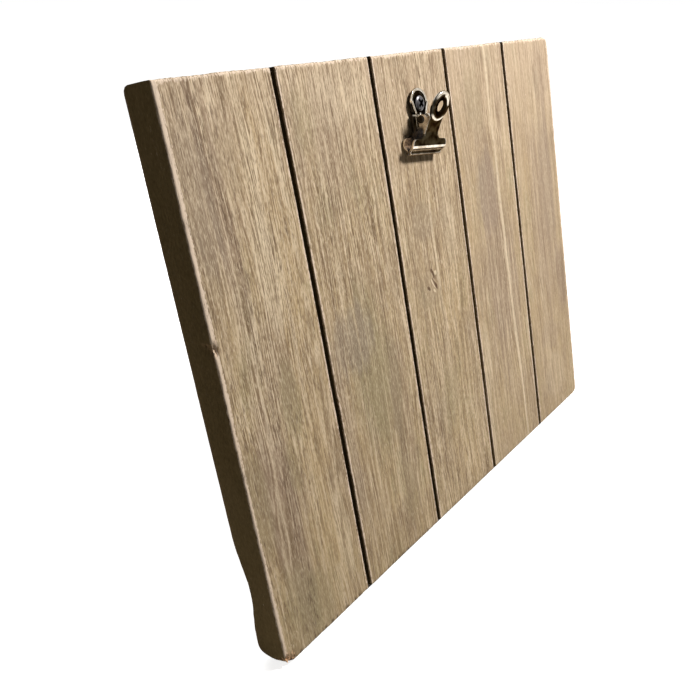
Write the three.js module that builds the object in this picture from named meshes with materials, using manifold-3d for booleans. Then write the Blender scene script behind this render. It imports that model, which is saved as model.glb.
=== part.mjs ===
// Clipboard picture frame: five weathered planks screwed to two battens, a bulldog clip that
// holds a print, and an easel leg that props the leaning board up on a table.
// Millimetres, +Z up, the board faces -Y, and the origin is on the table under the part's middle.
import * as THREE from "three";
import { mergeVertices } from "three/addons/utils/BufferGeometryUtils.js";
import Module from "manifold-3d";

const wasm = await Module();
wasm.setup();

const degrees = THREE.MathUtils.degToRad;

// Fits shared by all pieces
const SEAT_GAP = 0.3; // between faces that touch on the real frame
const PIN_CLEARANCE = 0.2; // round a hinge pin
const CUT = 60; // how far a cutting tool reaches past what it cuts
const ROUND_SEGMENTS = 24;
const EDGE_ARC_SEGMENTS = 3; // rounded wooden edges
const SHEET_ARC_SEGMENTS = 8; // outlines of pressed sheet

// Board
const BOARD_WIDTH = 254;
const BOARD_HEIGHT = 193.5;
const PLANK_COUNT = 5;
const PLANK_THICKNESS = 12.8;
const PLANK_GAP = 2.2;
const OUTER_PLANK_TRIM = 1.4; // the two outer planks are this much narrower than the others
const PLANK_ARRIS = 0.6; // eased long edges
const PLANK_FRONT_ROUND = 0.9; // front edge of a plank's two ends
const PLANK_BACK_ROUND = 2.6; // back edge of a plank's two ends
const BOARD_LEAN = degrees(12);

// Wane: bark edge missing from the back corner of the left plank
const WANE_LENGTH = 40;
const WANE_DEPTH = 2.75;
const WANE_REACH = 14; // in from the plank's side
const WANE_RISE = 28; // its middle above the board's foot
const WANE_ROUND = 6; // half thickness of the bark that is gone

// Battens across the back
const BATTEN_HEIGHT = 28;
const BATTEN_THICKNESS = 10;
const BATTEN_END_INSET = 13;
const BATTEN_ROUND = 1.2;
const BATTEN_ARRIS = 0.6; // its two ends
const UPPER_BATTEN_DROP = 24; // below the board's top edge
const LOWER_BATTEN_RISE = 20; // above the board's foot
const BRACKET_SIDE_STEP = 2; // wood between the bracket and the screw head beside it
const BATTEN_SCREW = { headRadius: 3.4, headHeight: 2.2, shankRadius: 1.6, length: 18, cross: 3.6 };

// Easel bracket, pin and leg
const BRACKET_WIDTH = 24;
const BRACKET_HEIGHT = 26;
const BRACKET_ROUND = 2.5;
const BRACKET_SHEET = 1.2;
const BRACKET_EAR_RADIUS = 4;
const BRACKET_SCREW_SPACING = 12;
const BRACKET_SCREW_TOP = 6.5; // below the bracket's top edge
const BRACKET_SCREW = { headRadius: 2.8, headHeight: 1.6, shankRadius: 1.4, length: 8.5, cross: 3 };
const EASEL_PIN_RISE = 6.5; // above the bracket's lower edge
const EASEL_PIN_RADIUS = 1.5;
const EASEL_PIN_HEAD_RADIUS = 2.6;
const EASEL_PIN_HEAD = 1;
const LEG_THICKNESS = 8;
const LEG_TOP_WIDTH = 14;
const LEG_FOOT_WIDTH = 38;
const LEG_HEEL = 6; // above the pin
const LEG_NECK = 12; // straight part below the pin
const LEG_ARRIS = 0.8;
const LEG_OPEN = degrees(25);

// Bulldog clip
const CLIP_DROP = 19.6; // its screw below the board's top edge
const CLIP_OFFSET = -0.5; // its screw beside the board's middle
const CLIP_SWIVEL = degrees(6); // turned clockwise on its screw
const CLIP_SHEET = 0.8;
const CLIP_LEVER_ANGLE = degrees(25.5); // between the levers with the jaws shut
const CLIP_STANDOFF = 4.5; // from the pin to the crown of each ring
const RING_RADIUS = 5.9;
const RING_HOLE_RADIUS = 2.2;
const RING_RISE = 6.4; // centre of the ring above the pin
const RING_RIM = 1.6; // depth of the turned-in rim, crown to edge
const RING_CROWN_RADIUS = 4.2; // where the domed ring stands highest
const RING_FALL = 0.3; // from the crown to its edges
const FRONT_NECK_HALF_WIDTH = 4.65; // its ears are bent from its sides
const REAR_NECK_HALF_WIDTH = 5.7; // its ears are lanced from its middle, between the front ears
const NECK_SINK = 0.7; // neck behind the crown of the ring
const WAIST_DROP = 3.9; // narrowest place between the plates, below the pin
const WAIST_SINK = 1;
const SHOULDER_RADIUS = 2.6;
const WING_HALF_WIDTH = 11.8;
const WING_TOP = 6.5; // below the pin
const WING_CORNER = 1.3;
const RIDGE_DROP = 9.45; // where a plate folds in, below the pin
const RIDGE_FLARE = 0.2; // ridge in front of the crown of the ring
const LIP_HALF_WIDTH = 10.6;
const LIP_TOP = 12; // below the pin, on the clip's middle plane
const LIP_END = 12.8;
const LIP_CURL = 0.5; // flared edge of a lip
const EAR_ABOVE = 1.6; // root of an ear above and below the pin
const EAR_BELOW = 4.6;
const EAR_TIP_RADIUS = 2.2;
const CLIP_PIN_RADIUS = 1;
const CLIP_PIN_HEAD_RADIUS = 1.5;
const CLIP_PIN_HEAD = 0.5;
const SPRING_WIRE = 0.8; // diameter
const SPRING_RADIUS = 2; // to the middle of the wire
const SPRING_TURNS = 2; // whole turns besides the part turn between its legs
const SPRING_PITCH = 1.3;
const SPRING_LEG_TOP = 2.7; // above the pin, short of the screw
const SPRING_SIDES = 5;
const SPRING_STEPS_PER_TURN = 8;
const CLIP_SCREW = { headRadius: 3.2, headHeight: 0.9, shankRadius: 1.75, length: 12, cross: 3.4 };

// Screw points and recesses
const SCREW_POINT = 2.4; // length of the point
const SCREW_SEGMENTS = 16;
const CROSS_WIDTH = 0.9;
const CROSS_DEPTH = 0.7;
const PAN_HEAD_EASE = 0.4; // eased rim of a pan head

// Sizes that follow from those above
const INNER_PLANK_WIDTH =
  (BOARD_WIDTH - (PLANK_COUNT - 1) * PLANK_GAP + 2 * OUTER_PLANK_TRIM) / PLANK_COUNT;
const OUTER_PLANK_WIDTH = INNER_PLANK_WIDTH - OUTER_PLANK_TRIM;
const BATTEN_FRONT = PLANK_THICKNESS + SEAT_GAP;
const BATTEN_BACK = BATTEN_FRONT + BATTEN_THICKNESS;
const UPPER_BATTEN_MIDDLE = BOARD_HEIGHT - UPPER_BATTEN_DROP - BATTEN_HEIGHT / 2;
const LOWER_BATTEN_MIDDLE = LOWER_BATTEN_RISE + BATTEN_HEIGHT / 2;
const BRACKET_FRONT = BATTEN_BACK + SEAT_GAP;
const BRACKET_BACK = BRACKET_FRONT + BRACKET_SHEET;
const BRACKET_FOOT = UPPER_BATTEN_MIDDLE - BRACKET_HEIGHT / 2;
const EASEL_PIN_DEPTH = BRACKET_BACK + SEAT_GAP + LEG_THICKNESS / 2;
const EASEL_PIN_HEIGHT = BRACKET_FOOT + EASEL_PIN_RISE;
const EAR_INNER = LEG_TOP_WIDTH / 2 + SEAT_GAP;
const EAR_OUTER = EAR_INNER + BRACKET_SHEET;
const CLIP_HALF_ANGLE = CLIP_LEVER_ANGLE / 2;
const FRONT_EAR_OUTER = FRONT_NECK_HALF_WIDTH;
const REAR_EAR_OUTER = FRONT_EAR_OUTER - CLIP_SHEET - SEAT_GAP;
const CLIP_REST = SEAT_GAP + RIDGE_FLARE; // from the board's face to the crown of the back ring
const CLIP_PIN_STANDOFF = CLIP_REST + CLIP_STANDOFF;
const CLIP_PLACE = [CLIP_OFFSET, 0, BOARD_HEIGHT - CLIP_DROP];

// The table's level in the leaning board's turned frame: under the rounded back foot edge
const TABLE_LEVEL =
  -(PLANK_THICKNESS - PLANK_BACK_ROUND) * Math.sin(BOARD_LEAN) +
  PLANK_BACK_ROUND * Math.cos(BOARD_LEAN) -
  PLANK_BACK_ROUND;

const material = (color, roughness, metalness) =>
  new THREE.MeshStandardMaterial({ color, roughness, metalness });
const weatheredWood = material(0xb49a79, 0.8, 0);
const battenWood = material(0xa8845a, 0.8, 0);
const legWood = material(0x8a6c4a, 0.75, 0);
const zincSteel = material(0xa9aaa6, 0.4, 1);
const nickelSteel = material(0x8e8576, 0.28, 1);
const springSteel = material(0x6f6a62, 0.35, 1);
const darkScrewSteel = material(0x4a4a4c, 0.4, 1);

// Solids

// A closed geometry as a solid that can be cut and joined
function solid(geometry) {
  const bare = geometry.index ? geometry.toNonIndexed() : geometry.clone();
  bare.deleteAttribute("normal");
  bare.deleteAttribute("uv");
  const welded = mergeVertices(bare, 1e-4);
  return new wasm.Manifold(
    new wasm.Mesh({
      numProp: 3,
      vertProperties: welded.attributes.position.array,
      triVerts: new Uint32Array(welded.index.array),
    }),
  );
}

// A solid as a geometry with flat faces
function geometryOf(body) {
  const mesh = body.getMesh();
  const geometry = new THREE.BufferGeometry();
  geometry.setAttribute("position", new THREE.BufferAttribute(mesh.vertProperties, 3));
  geometry.setIndex(new THREE.BufferAttribute(mesh.triVerts, 1));
  const faceted = geometry.toNonIndexed();
  faceted.computeVertexNormals();
  return faceted;
}

function piece(name, shape, look) {
  const geometry = shape.isBufferGeometry ? shape : geometryOf(shape);
  const mesh = new THREE.Mesh(geometry, look.clone());
  mesh.name = name;
  return mesh;
}

const box = (width, depth, height) => new THREE.BoxGeometry(width, depth, height);

// An outline drawn in x and y, extruded towards +z with its arrises eased inside the outline
function extrude(outline, depth, arris = 0) {
  return new THREE.ExtrudeGeometry(outline, {
    depth: depth - 2 * arris,
    bevelEnabled: arris > 0,
    bevelThickness: arris,
    bevelSize: arris,
    bevelOffset: -arris,
    bevelSegments: 2,
    curveSegments: arris > 0 ? EDGE_ARC_SEGMENTS : SHEET_ARC_SEGMENTS,
  }).translate(0, 0, arris);
}

// An outline drawn in (y, z), extruded along x about the middle
function extrudeAcross(outline, width, arris = 0) {
  const turn = new THREE.Matrix4().makeBasis(
    new THREE.Vector3(0, 1, 0),
    new THREE.Vector3(0, 0, 1),
    new THREE.Vector3(1, 0, 0),
  );
  return extrude(outline, width, arris).translate(0, 0, -width / 2).applyMatrix4(turn);
}

// An outline drawn in (x, z), extruded along y from front to back
function extrudeBack(outline, front, back, arris = 0) {
  return extrude(outline, back - front, arris)
    .rotateX(Math.PI / 2)
    .translate(0, back, 0);
}

// A round bar along y
function barAlongY(radius, from, to, segments = ROUND_SEGMENTS) {
  const bar = new THREE.CylinderGeometry(radius, radius, to - from, segments);
  return bar.translate(0, (from + to) / 2, 0);
}

const barAlongX = (radius, from, to) => barAlongY(radius, from, to).rotateZ(-Math.PI / 2);

function roundedRectangle(left, bottom, right, top, radius) {
  const outline = new THREE.Shape();
  outline.absarc(right - radius, bottom + radius, radius, -Math.PI / 2, 0);
  outline.absarc(right - radius, top - radius, radius, 0, Math.PI / 2);
  outline.absarc(left + radius, top - radius, radius, Math.PI / 2, Math.PI);
  outline.absarc(left + radius, bottom + radius, radius, Math.PI, 1.5 * Math.PI);
  return outline;
}

// Screws point along -y, with the underside of a pan head or the top of a flat head at y = 0

function screwProfile(size, flatHead, gap = 0) {
  const shank = size.shankRadius + gap;
  const head = size.headRadius + gap;
  const tip = -size.length - gap;
  const top = flatHead
    ? [[shank, -size.headHeight], [head, 0], [0, 0]]
    : [[shank, 0], [head, 0], [head, size.headHeight - PAN_HEAD_EASE],
       [head - PAN_HEAD_EASE, size.headHeight], [0, size.headHeight]];
  return [[0, tip], [shank, tip + SCREW_POINT], ...top].map(([r, y]) => new THREE.Vector2(r, y));
}

function crossRecess(size, top) {
  const arm = box(size.cross, CROSS_DEPTH + SEAT_GAP, CROSS_WIDTH);
  arm.translate(0, top + (SEAT_GAP - CROSS_DEPTH) / 2, 0);
  return solid(arm).add(solid(arm.clone().rotateY(Math.PI / 2)));
}

function screw(size, flatHead) {
  const top = flatHead ? 0 : size.headHeight;
  const blank = new THREE.LatheGeometry(screwProfile(size, flatHead), SCREW_SEGMENTS);
  return solid(blank).subtract(crossRecess(size, top));
}

// The hole that a screw at a place leaves, open above its head
function screwHole(size, flatHead, place) {
  const hole = new THREE.LatheGeometry(screwProfile(size, flatHead, SEAT_GAP), SCREW_SEGMENTS);
  const above = barAlongY(size.headRadius + SEAT_GAP, 0, CUT, SCREW_SEGMENTS);
  return solid(hole.translate(...place)).add(solid(above.translate(...place)));
}

// Board

const middlePlank = Math.floor(PLANK_COUNT / 2);

const plankWidth = (index) =>
  index === 0 || index === PLANK_COUNT - 1 ? OUTER_PLANK_WIDTH : INNER_PLANK_WIDTH;

// Middle of a plank, from the left side of the board
function plankMiddle(index) {
  let left = -BOARD_WIDTH / 2;
  for (let before = 0; before < index; before += 1) left += plankWidth(before) + PLANK_GAP;
  return left + plankWidth(index) / 2;
}

// Side view of a plank: y from its front face to its back, z up from its foot
function plankOutline() {
  const front = PLANK_FRONT_ROUND;
  const back = PLANK_BACK_ROUND;
  const outline = new THREE.Shape();
  outline.absarc(PLANK_THICKNESS - back, back, back, -Math.PI / 2, 0);
  outline.absarc(PLANK_THICKNESS - back, BOARD_HEIGHT - back, back, 0, Math.PI / 2);
  outline.absarc(front, BOARD_HEIGHT - front, front, Math.PI / 2, Math.PI);
  outline.absarc(front, front, front, Math.PI, 1.5 * Math.PI);
  return outline;
}

// The bark that is missing, as a rounded lump whose middle is on the board's left side
function waneCutter() {
  const lump = new THREE.SphereGeometry(1, 2 * ROUND_SEGMENTS, ROUND_SEGMENTS);
  const sunk = 1 - WANE_DEPTH / WANE_ROUND;
  const chord = Math.sqrt(1 - sunk * sunk);
  lump.scale(WANE_REACH / chord, WANE_ROUND, WANE_LENGTH / 2 / chord);
  const middle = PLANK_THICKNESS - WANE_DEPTH + WANE_ROUND;
  return solid(lump.translate(-BOARD_WIDTH / 2, middle, WANE_RISE));
}

// Each batten has one screw in the middle of each plank, or beside the easel bracket
const besideBracket = BRACKET_WIDTH / 2 + BRACKET_SIDE_STEP + BATTEN_SCREW.headRadius;
const battenScrewPlaces = (index) => [
  { x: plankMiddle(index) + (index === middlePlank ? besideBracket : 0), z: UPPER_BATTEN_MIDDLE },
  { x: plankMiddle(index), z: LOWER_BATTEN_MIDDLE },
];

const battenScrewHole = (x, z) =>
  screwHole(BATTEN_SCREW, true, [x, BATTEN_BACK - SEAT_GAP, z]);

function plank(index) {
  const blank = extrudeAcross(plankOutline(), plankWidth(index), PLANK_ARRIS);
  let body = solid(blank.translate(plankMiddle(index), 0, 0));
  for (const { x, z } of battenScrewPlaces(index)) body = body.subtract(battenScrewHole(x, z));
  if (index === 0) body = body.subtract(waneCutter());
  if (index === middlePlank) body = body.subtract(clipScrewHole());
  return piece(`plank_${index + 1}`, body, weatheredWood);
}

function batten(name, middle, row) {
  const outline = roundedRectangle(
    BATTEN_FRONT, middle - BATTEN_HEIGHT / 2, BATTEN_BACK, middle + BATTEN_HEIGHT / 2, BATTEN_ROUND,
  );
  const length = BOARD_WIDTH - 2 * BATTEN_END_INSET;
  let body = solid(extrudeAcross(outline, length, BATTEN_ARRIS));
  for (let index = 0; index < PLANK_COUNT; index += 1) {
    const { x, z } = battenScrewPlaces(index)[row];
    body = body.subtract(battenScrewHole(x, z));
  }
  if (row === 0) {
    for (const x of bracketScrewColumns) body = body.subtract(bracketScrewHole(x));
  }
  return piece(name, body, battenWood);
}

function battenScrews() {
  const rows = ["upper", "lower"];
  const made = [];
  for (let index = 0; index < PLANK_COUNT; index += 1) {
    battenScrewPlaces(index).forEach(({ x, z }, row) => {
      const mesh = piece(`${rows[row]}_batten_screw_${index + 1}`, screw(BATTEN_SCREW, true), zincSteel);
      mesh.position.set(x, BATTEN_BACK - SEAT_GAP, z);
      made.push(mesh);
    });
  }
  return made;
}

// Easel bracket, in the board's frame

const bracketScrewColumns = [-BRACKET_SCREW_SPACING / 2, BRACKET_SCREW_SPACING / 2];
const BRACKET_SCREW_HEIGHT = BRACKET_FOOT + BRACKET_HEIGHT - BRACKET_SCREW_TOP;

const bracketScrewHole = (x) =>
  screwHole(BRACKET_SCREW, false, [x, BRACKET_BACK + SEAT_GAP, BRACKET_SCREW_HEIGHT]);

function bracketEar(side) {
  const outline = new THREE.Shape();
  const root = BRACKET_FRONT + BRACKET_SHEET / 2;
  outline.moveTo(root, EASEL_PIN_HEIGHT - BRACKET_EAR_RADIUS);
  outline.absarc(EASEL_PIN_DEPTH, EASEL_PIN_HEIGHT, BRACKET_EAR_RADIUS, -Math.PI / 2, Math.PI / 2);
  outline.lineTo(root, EASEL_PIN_HEIGHT + BRACKET_EAR_RADIUS);
  const middle = (EAR_INNER + EAR_OUTER) / 2;
  return solid(extrudeAcross(outline, BRACKET_SHEET).translate(side * middle, 0, 0));
}

function easelBracket() {
  const outline = roundedRectangle(
    -BRACKET_WIDTH / 2, BRACKET_FOOT, BRACKET_WIDTH / 2, BRACKET_FOOT + BRACKET_HEIGHT, BRACKET_ROUND,
  );
  let body = solid(extrudeBack(outline, BRACKET_FRONT, BRACKET_BACK));
  body = body.add(bracketEar(-1)).add(bracketEar(1));
  const pinHole = barAlongX(EASEL_PIN_RADIUS + PIN_CLEARANCE, -CUT, CUT);
  body = body.subtract(solid(pinHole.translate(0, EASEL_PIN_DEPTH, EASEL_PIN_HEIGHT)));
  for (const x of bracketScrewColumns) {
    const hole = barAlongY(BRACKET_SCREW.shankRadius + SEAT_GAP, -CUT, CUT, SCREW_SEGMENTS);
    body = body.subtract(solid(hole.translate(x, 0, BRACKET_SCREW_HEIGHT)));
  }
  return piece("easel_bracket", body, zincSteel);
}

function bracketScrews() {
  return bracketScrewColumns.map((x, index) => {
    const mesh = piece(`bracket_screw_${index + 1}`, screw(BRACKET_SCREW, false), zincSteel);
    mesh.position.set(x, BRACKET_BACK + SEAT_GAP, BRACKET_SCREW_HEIGHT);
    return mesh;
  });
}

// A pin along x with a head outside each of two ears
function headedPin(name, radius, headRadius, head, earOuter, look) {
  const under = earOuter + SEAT_GAP;
  const end = under + head;
  const profile = [
    [0, -end], [headRadius, -end], [headRadius, -under], [radius, -under],
    [radius, under], [headRadius, under], [headRadius, end], [0, end],
  ].map(([r, y]) => new THREE.Vector2(r, y));
  return piece(name, new THREE.LatheGeometry(profile, ROUND_SEGMENTS).rotateZ(-Math.PI / 2), look);
}

// Easel leg, in its own frame: x across, y out from the board, z up from the pin

function easelLeg() {
  const tilt = LEG_OPEN - BOARD_LEAN;
  const pinAboveTable =
    EASEL_PIN_HEIGHT * Math.cos(BOARD_LEAN) - EASEL_PIN_DEPTH * Math.sin(BOARD_LEAN) - TABLE_LEVEL;
  const foot = pinAboveTable / Math.cos(tilt);
  const below = foot + LEG_THICKNESS; // the blank runs past the table and is cut level

  const outline = new THREE.Shape();
  outline.moveTo(-LEG_FOOT_WIDTH / 2, -below);
  outline.lineTo(LEG_FOOT_WIDTH / 2, -below);
  outline.lineTo(LEG_TOP_WIDTH / 2, -LEG_NECK);
  outline.lineTo(LEG_TOP_WIDTH / 2, LEG_HEEL);
  outline.lineTo(-LEG_TOP_WIDTH / 2, LEG_HEEL);
  outline.lineTo(-LEG_TOP_WIDTH / 2, -LEG_NECK);
  const half = LEG_THICKNESS / 2;
  let body = solid(extrudeBack(outline, -half, half, LEG_ARRIS));

  const table = box(CUT, CUT, CUT).translate(0, 0, -CUT / 2).rotateX(-tilt).translate(0, 0, -foot);
  // The heel is cut to lie on the bracket when the leg is open, which stops it there.
  const stop = box(CUT, CUT, CUT).translate(0, -CUT / 2 - half, 0).rotateX(-LEG_OPEN);
  const pinHole = barAlongX(EASEL_PIN_RADIUS + PIN_CLEARANCE, -CUT, CUT);
  body = body.subtract(solid(table)).subtract(solid(stop)).subtract(solid(pinHole));
  return piece("easel_leg", body, legWood);
}

// Bulldog clip plates, in a plate's frame: x across, y up its lever, z out of the clip,
// with the pin's axis at the origin

const plateMiddle = CLIP_STANDOFF - CLIP_SHEET / 2; // middle of the sheet at the crown of the ring
const neckMiddle = plateMiddle - NECK_SINK;
const neckTop = RING_RISE - RING_CROWN_RADIUS; // the neck runs under the ring as far as its crown

// A place on the clip's middle plane, as (y, z) of a plate
function fromMiddlePlane(along, out) {
  const cos = Math.cos(CLIP_HALF_ANGLE);
  const sin = Math.sin(CLIP_HALF_ANGLE);
  return new THREE.Vector2(along * cos + out * sin, out * cos - along * sin);
}

// A bent strip of sheet, seen on edge
function bentStrip(line, thickness) {
  const sides = line.map((point, index) => {
    const before = line[Math.max(index - 1, 0)];
    const after = line[Math.min(index + 1, line.length - 1)];
    const first = point.clone().sub(before).normalize();
    const last = after.clone().sub(point).normalize();
    const along = first.clone().add(last).normalize();
    const step = first.length() && last.length() ? along.dot(first) : 1;
    return new THREE.Vector2(-along.y, along.x).multiplyScalar(thickness / 2 / step);
  });
  const left = line.map((point, index) => point.clone().add(sides[index]));
  const right = line.map((point, index) => point.clone().sub(sides[index]));
  return new THREE.Shape([...left, ...right.reverse()]);
}

// Edge-on line of a plate below its ring: neck, waist, fold at the ridge, lip, flared edge
function plateEdgeLine() {
  const lipOut = SEAT_GAP / 2 + CLIP_SHEET / 2;
  return [
    new THREE.Vector2(neckTop, neckMiddle),
    new THREE.Vector2(-WAIST_DROP, plateMiddle - WAIST_SINK),
    new THREE.Vector2(-RIDGE_DROP, plateMiddle + RIDGE_FLARE),
    fromMiddlePlane(-LIP_TOP, lipOut),
    fromMiddlePlane(-LIP_END, lipOut),
    fromMiddlePlane(-LIP_END - LIP_CURL, lipOut + LIP_CURL),
  ];
}

// Front view of a plate below its ring
function plateOutline(neck) {
  const wing = WING_HALF_WIDTH;
  const corner = WING_CORNER;
  const shoulder = SHOULDER_RADIUS;
  const end = -LIP_END - LIP_CURL - CLIP_SHEET;
  const outline = new THREE.Shape();
  outline.moveTo(-LIP_HALF_WIDTH, end);
  outline.lineTo(LIP_HALF_WIDTH, end);
  outline.lineTo(wing, -RIDGE_DROP);
  outline.absarc(wing - corner, -WING_TOP - corner, corner, 0, Math.PI / 2);
  outline.absarc(neck + shoulder, shoulder - WING_TOP, shoulder, -Math.PI / 2, -Math.PI, true);
  outline.lineTo(neck, RING_RISE);
  outline.lineTo(-neck, RING_RISE);
  outline.absarc(-neck - shoulder, shoulder - WING_TOP, shoulder, 0, -Math.PI / 2, true);
  outline.absarc(corner - wing, -WING_TOP - corner, corner, Math.PI / 2, Math.PI);
  outline.lineTo(-wing, -RIDGE_DROP);
  return outline;
}

// The ring is a domed band of sheet with a deep outer rim, turned about the hole
function plateRing() {
  const crown = CLIP_STANDOFF;
  const inside = crown - CLIP_SHEET;
  const shoulder = (RING_RADIUS + RING_CROWN_RADIUS) / 2;
  const edge = crown - RING_RIM;
  const profile = [
    [RING_HOLE_RADIUS, inside - RING_FALL],
    [RING_CROWN_RADIUS, inside],
    [RING_RADIUS - CLIP_SHEET, inside - RING_FALL / 2],
    [RING_RADIUS - CLIP_SHEET, edge],
    [RING_RADIUS, edge],
    [RING_RADIUS, crown - RING_FALL],
    [shoulder, crown - RING_FALL / 4],
    [RING_CROWN_RADIUS, crown],
    [(RING_HOLE_RADIUS + RING_CROWN_RADIUS) / 2, crown - RING_FALL / 4],
    [RING_HOLE_RADIUS, crown - RING_FALL],
    [RING_HOLE_RADIUS, inside - RING_FALL],
  ].map(([r, y]) => new THREE.Vector2(r, y));
  const ring = new THREE.LatheGeometry(profile, ROUND_SEGMENTS).rotateX(Math.PI / 2);
  return solid(ring.translate(0, RING_RISE, 0));
}

function plateEar(outer, side) {
  const tip = EAR_TIP_RADIUS;
  const outline = new THREE.Shape();
  outline.moveTo(-EAR_BELOW, plateMiddle - WAIST_SINK);
  outline.absarc(0, 0, tip, Math.PI, 2 * Math.PI);
  outline.lineTo(EAR_ABOVE, neckMiddle);
  return solid(extrudeAcross(outline, CLIP_SHEET).translate(side * (outer - CLIP_SHEET / 2), 0, 0));
}

function clipPlate(name, neck, earOuter) {
  const sheet = solid(extrudeAcross(bentStrip(plateEdgeLine(), CLIP_SHEET), 2 * WING_HALF_WIDTH));
  const front = extrude(plateOutline(neck), CUT).translate(0, 0, -CUT / 2);
  const pinHole = barAlongX(CLIP_PIN_RADIUS + PIN_CLEARANCE, -CUT, CUT);
  const body = sheet.intersect(solid(front)).add(plateRing());
  const eared = body.add(plateEar(earOuter, -1)).add(plateEar(earOuter, 1));
  return piece(name, eared.subtract(solid(pinHole)), nickelSteel);
}

// Torsion spring on the clip's pin: a leg up the back lever, turns round the pin, a leg up the front

function springPath() {
  const legOut = CLIP_STANDOFF - RING_RIM - SEAT_GAP - SPRING_WIRE / 2;
  const reach = Math.hypot(SPRING_LEG_TOP, legOut);
  const tipAngle = Math.atan2(legOut, SPRING_LEG_TOP);
  const toTangent = Math.acos(SPRING_RADIUS / reach);
  const start = -tipAngle - toTangent;
  const frontTip = CLIP_LEVER_ANGLE + tipAngle;
  const end = frontTip + toTangent - 2 * Math.PI * (SPRING_TURNS + 1);
  const turns = (start - end) / (2 * Math.PI);
  const steps = Math.round(turns * SPRING_STEPS_PER_TURN);
  const length = turns * SPRING_PITCH;
  const at = (x, radius, angle) =>
    new THREE.Vector3(x, radius * Math.cos(angle), radius * Math.sin(angle));
  const coil = [];
  for (let step = 0; step <= steps; step += 1) {
    const share = step / steps;
    coil.push(at((share - 0.5) * length, SPRING_RADIUS, start + (end - start) * share));
  }
  return [at(-length / 2, reach, -tipAngle), ...coil, at(length / 2, reach, frontTip)];
}

// The least clear space between a wire and itself, past the reach of one bend
function leastGap(path, diameter) {
  let least = Infinity;
  path.forEach((point, index) => {
    let along = 0;
    for (let other = index + 1; other < path.length; other += 1) {
      along += path[other].distanceTo(path[other - 1]);
      if (along > Math.PI * SPRING_RADIUS) least = Math.min(least, point.distanceTo(path[other]));
    }
  });
  return least - diameter;
}

// A closed tube along a path, with rings that turn with the path and flat ends
function tube(path, radius, sides) {
  const tangents = path.map((point, index) => {
    const before = path[Math.max(index - 1, 0)];
    const after = path[Math.min(index + 1, path.length - 1)];
    return after.clone().sub(before).normalize();
  });
  const positions = [];
  const index = [];
  const side = new THREE.Vector3(1, 0, 0);
  path.forEach((point, ring) => {
    side.addScaledVector(tangents[ring], -side.dot(tangents[ring])).normalize();
    const other = tangents[ring].clone().cross(side);
    for (let corner = 0; corner < sides; corner += 1) {
      const angle = (2 * Math.PI * corner) / sides;
      const place = point.clone();
      place.addScaledVector(side, radius * Math.cos(angle));
      place.addScaledVector(other, radius * Math.sin(angle));
      positions.push(place.x, place.y, place.z);
      if (ring === 0) continue;
      const here = ring * sides + corner;
      const next = ring * sides + ((corner + 1) % sides);
      index.push(here - sides, next - sides, next, here - sides, next, here);
    }
  });
  const last = (path.length - 1) * sides;
  for (let corner = 1; corner < sides - 1; corner += 1) {
    index.push(0, corner + 1, corner, last, last + corner, last + corner + 1);
  }
  const geometry = new THREE.BufferGeometry();
  geometry.setAttribute("position", new THREE.Float32BufferAttribute(positions, 3));
  geometry.setIndex(index);
  geometry.computeVertexNormals();
  return geometry;
}

function clipSpring() {
  const path = springPath();
  console.log(`clip_spring least gap to itself ${leastGap(path, SPRING_WIRE).toFixed(2)} mm`);
  return piece("clip_spring", tube(path, SPRING_WIRE / 2, SPRING_SIDES), springSteel);
}

// The clip's screw goes into the middle plank, square to the board's face

const clipScrewSeat = CLIP_REST + CLIP_SHEET + RING_FALL + SEAT_GAP; // underside of its head

function clipScrewHole() {
  const size = CLIP_SCREW;
  const depth = size.length - clipScrewSeat + SEAT_GAP;
  const hole = barAlongY(size.shankRadius + SEAT_GAP, -CUT, depth, SCREW_SEGMENTS);
  return solid(hole.translate(...CLIP_PLACE));
}

// Assembly

// Clip frame: origin where the screw meets the board's face, x right, y up the board, z forward
function clip() {
  const group = new THREE.Group();
  group.position.set(...CLIP_PLACE);
  group.rotation.set(Math.PI / 2, 0, 0);

  const clipScrew = piece("clip_screw", screw(CLIP_SCREW, false), darkScrewSteel);
  clipScrew.position.set(0, 0, clipScrewSeat);
  clipScrew.rotation.set(Math.PI / 2, 0, 0);

  const swivel = new THREE.Group();
  swivel.rotation.set(0, 0, -CLIP_SWIVEL);
  const hinge = new THREE.Group();
  hinge.position.set(0, -RING_RISE, CLIP_PIN_STANDOFF);
  const rear = clipPlate("clip_rear_plate", REAR_NECK_HALF_WIDTH, REAR_EAR_OUTER);
  rear.rotation.set(0, Math.PI, 0);
  const front = clipPlate("clip_front_plate", FRONT_NECK_HALF_WIDTH, FRONT_EAR_OUTER);
  front.rotation.set(CLIP_LEVER_ANGLE, 0, 0);
  const pin = headedPin(
    "clip_pin", CLIP_PIN_RADIUS, CLIP_PIN_HEAD_RADIUS, CLIP_PIN_HEAD, FRONT_EAR_OUTER, nickelSteel,
  );
  hinge.add(rear, front, pin, clipSpring());
  swivel.add(hinge);
  group.add(clipScrew, swivel);
  return group;
}

function easel() {
  const group = new THREE.Group();
  group.position.set(0, EASEL_PIN_DEPTH, EASEL_PIN_HEIGHT);
  const pin = headedPin(
    "easel_pin", EASEL_PIN_RADIUS, EASEL_PIN_HEAD_RADIUS, EASEL_PIN_HEAD, EAR_OUTER, zincSteel,
  );
  const leg = easelLeg();
  leg.rotation.set(LEG_OPEN, 0, 0);
  group.add(pin, leg);
  return group;
}

function board() {
  const group = new THREE.Group();
  for (let index = 0; index < PLANK_COUNT; index += 1) group.add(plank(index));
  group.add(batten("upper_batten", UPPER_BATTEN_MIDDLE, 0));
  group.add(batten("lower_batten", LOWER_BATTEN_MIDDLE, 1));
  group.add(...battenScrews(), easelBracket(), ...bracketScrews(), easel(), clip());
  group.rotation.set(-BOARD_LEAN, 0, 0);
  return group;
}

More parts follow.
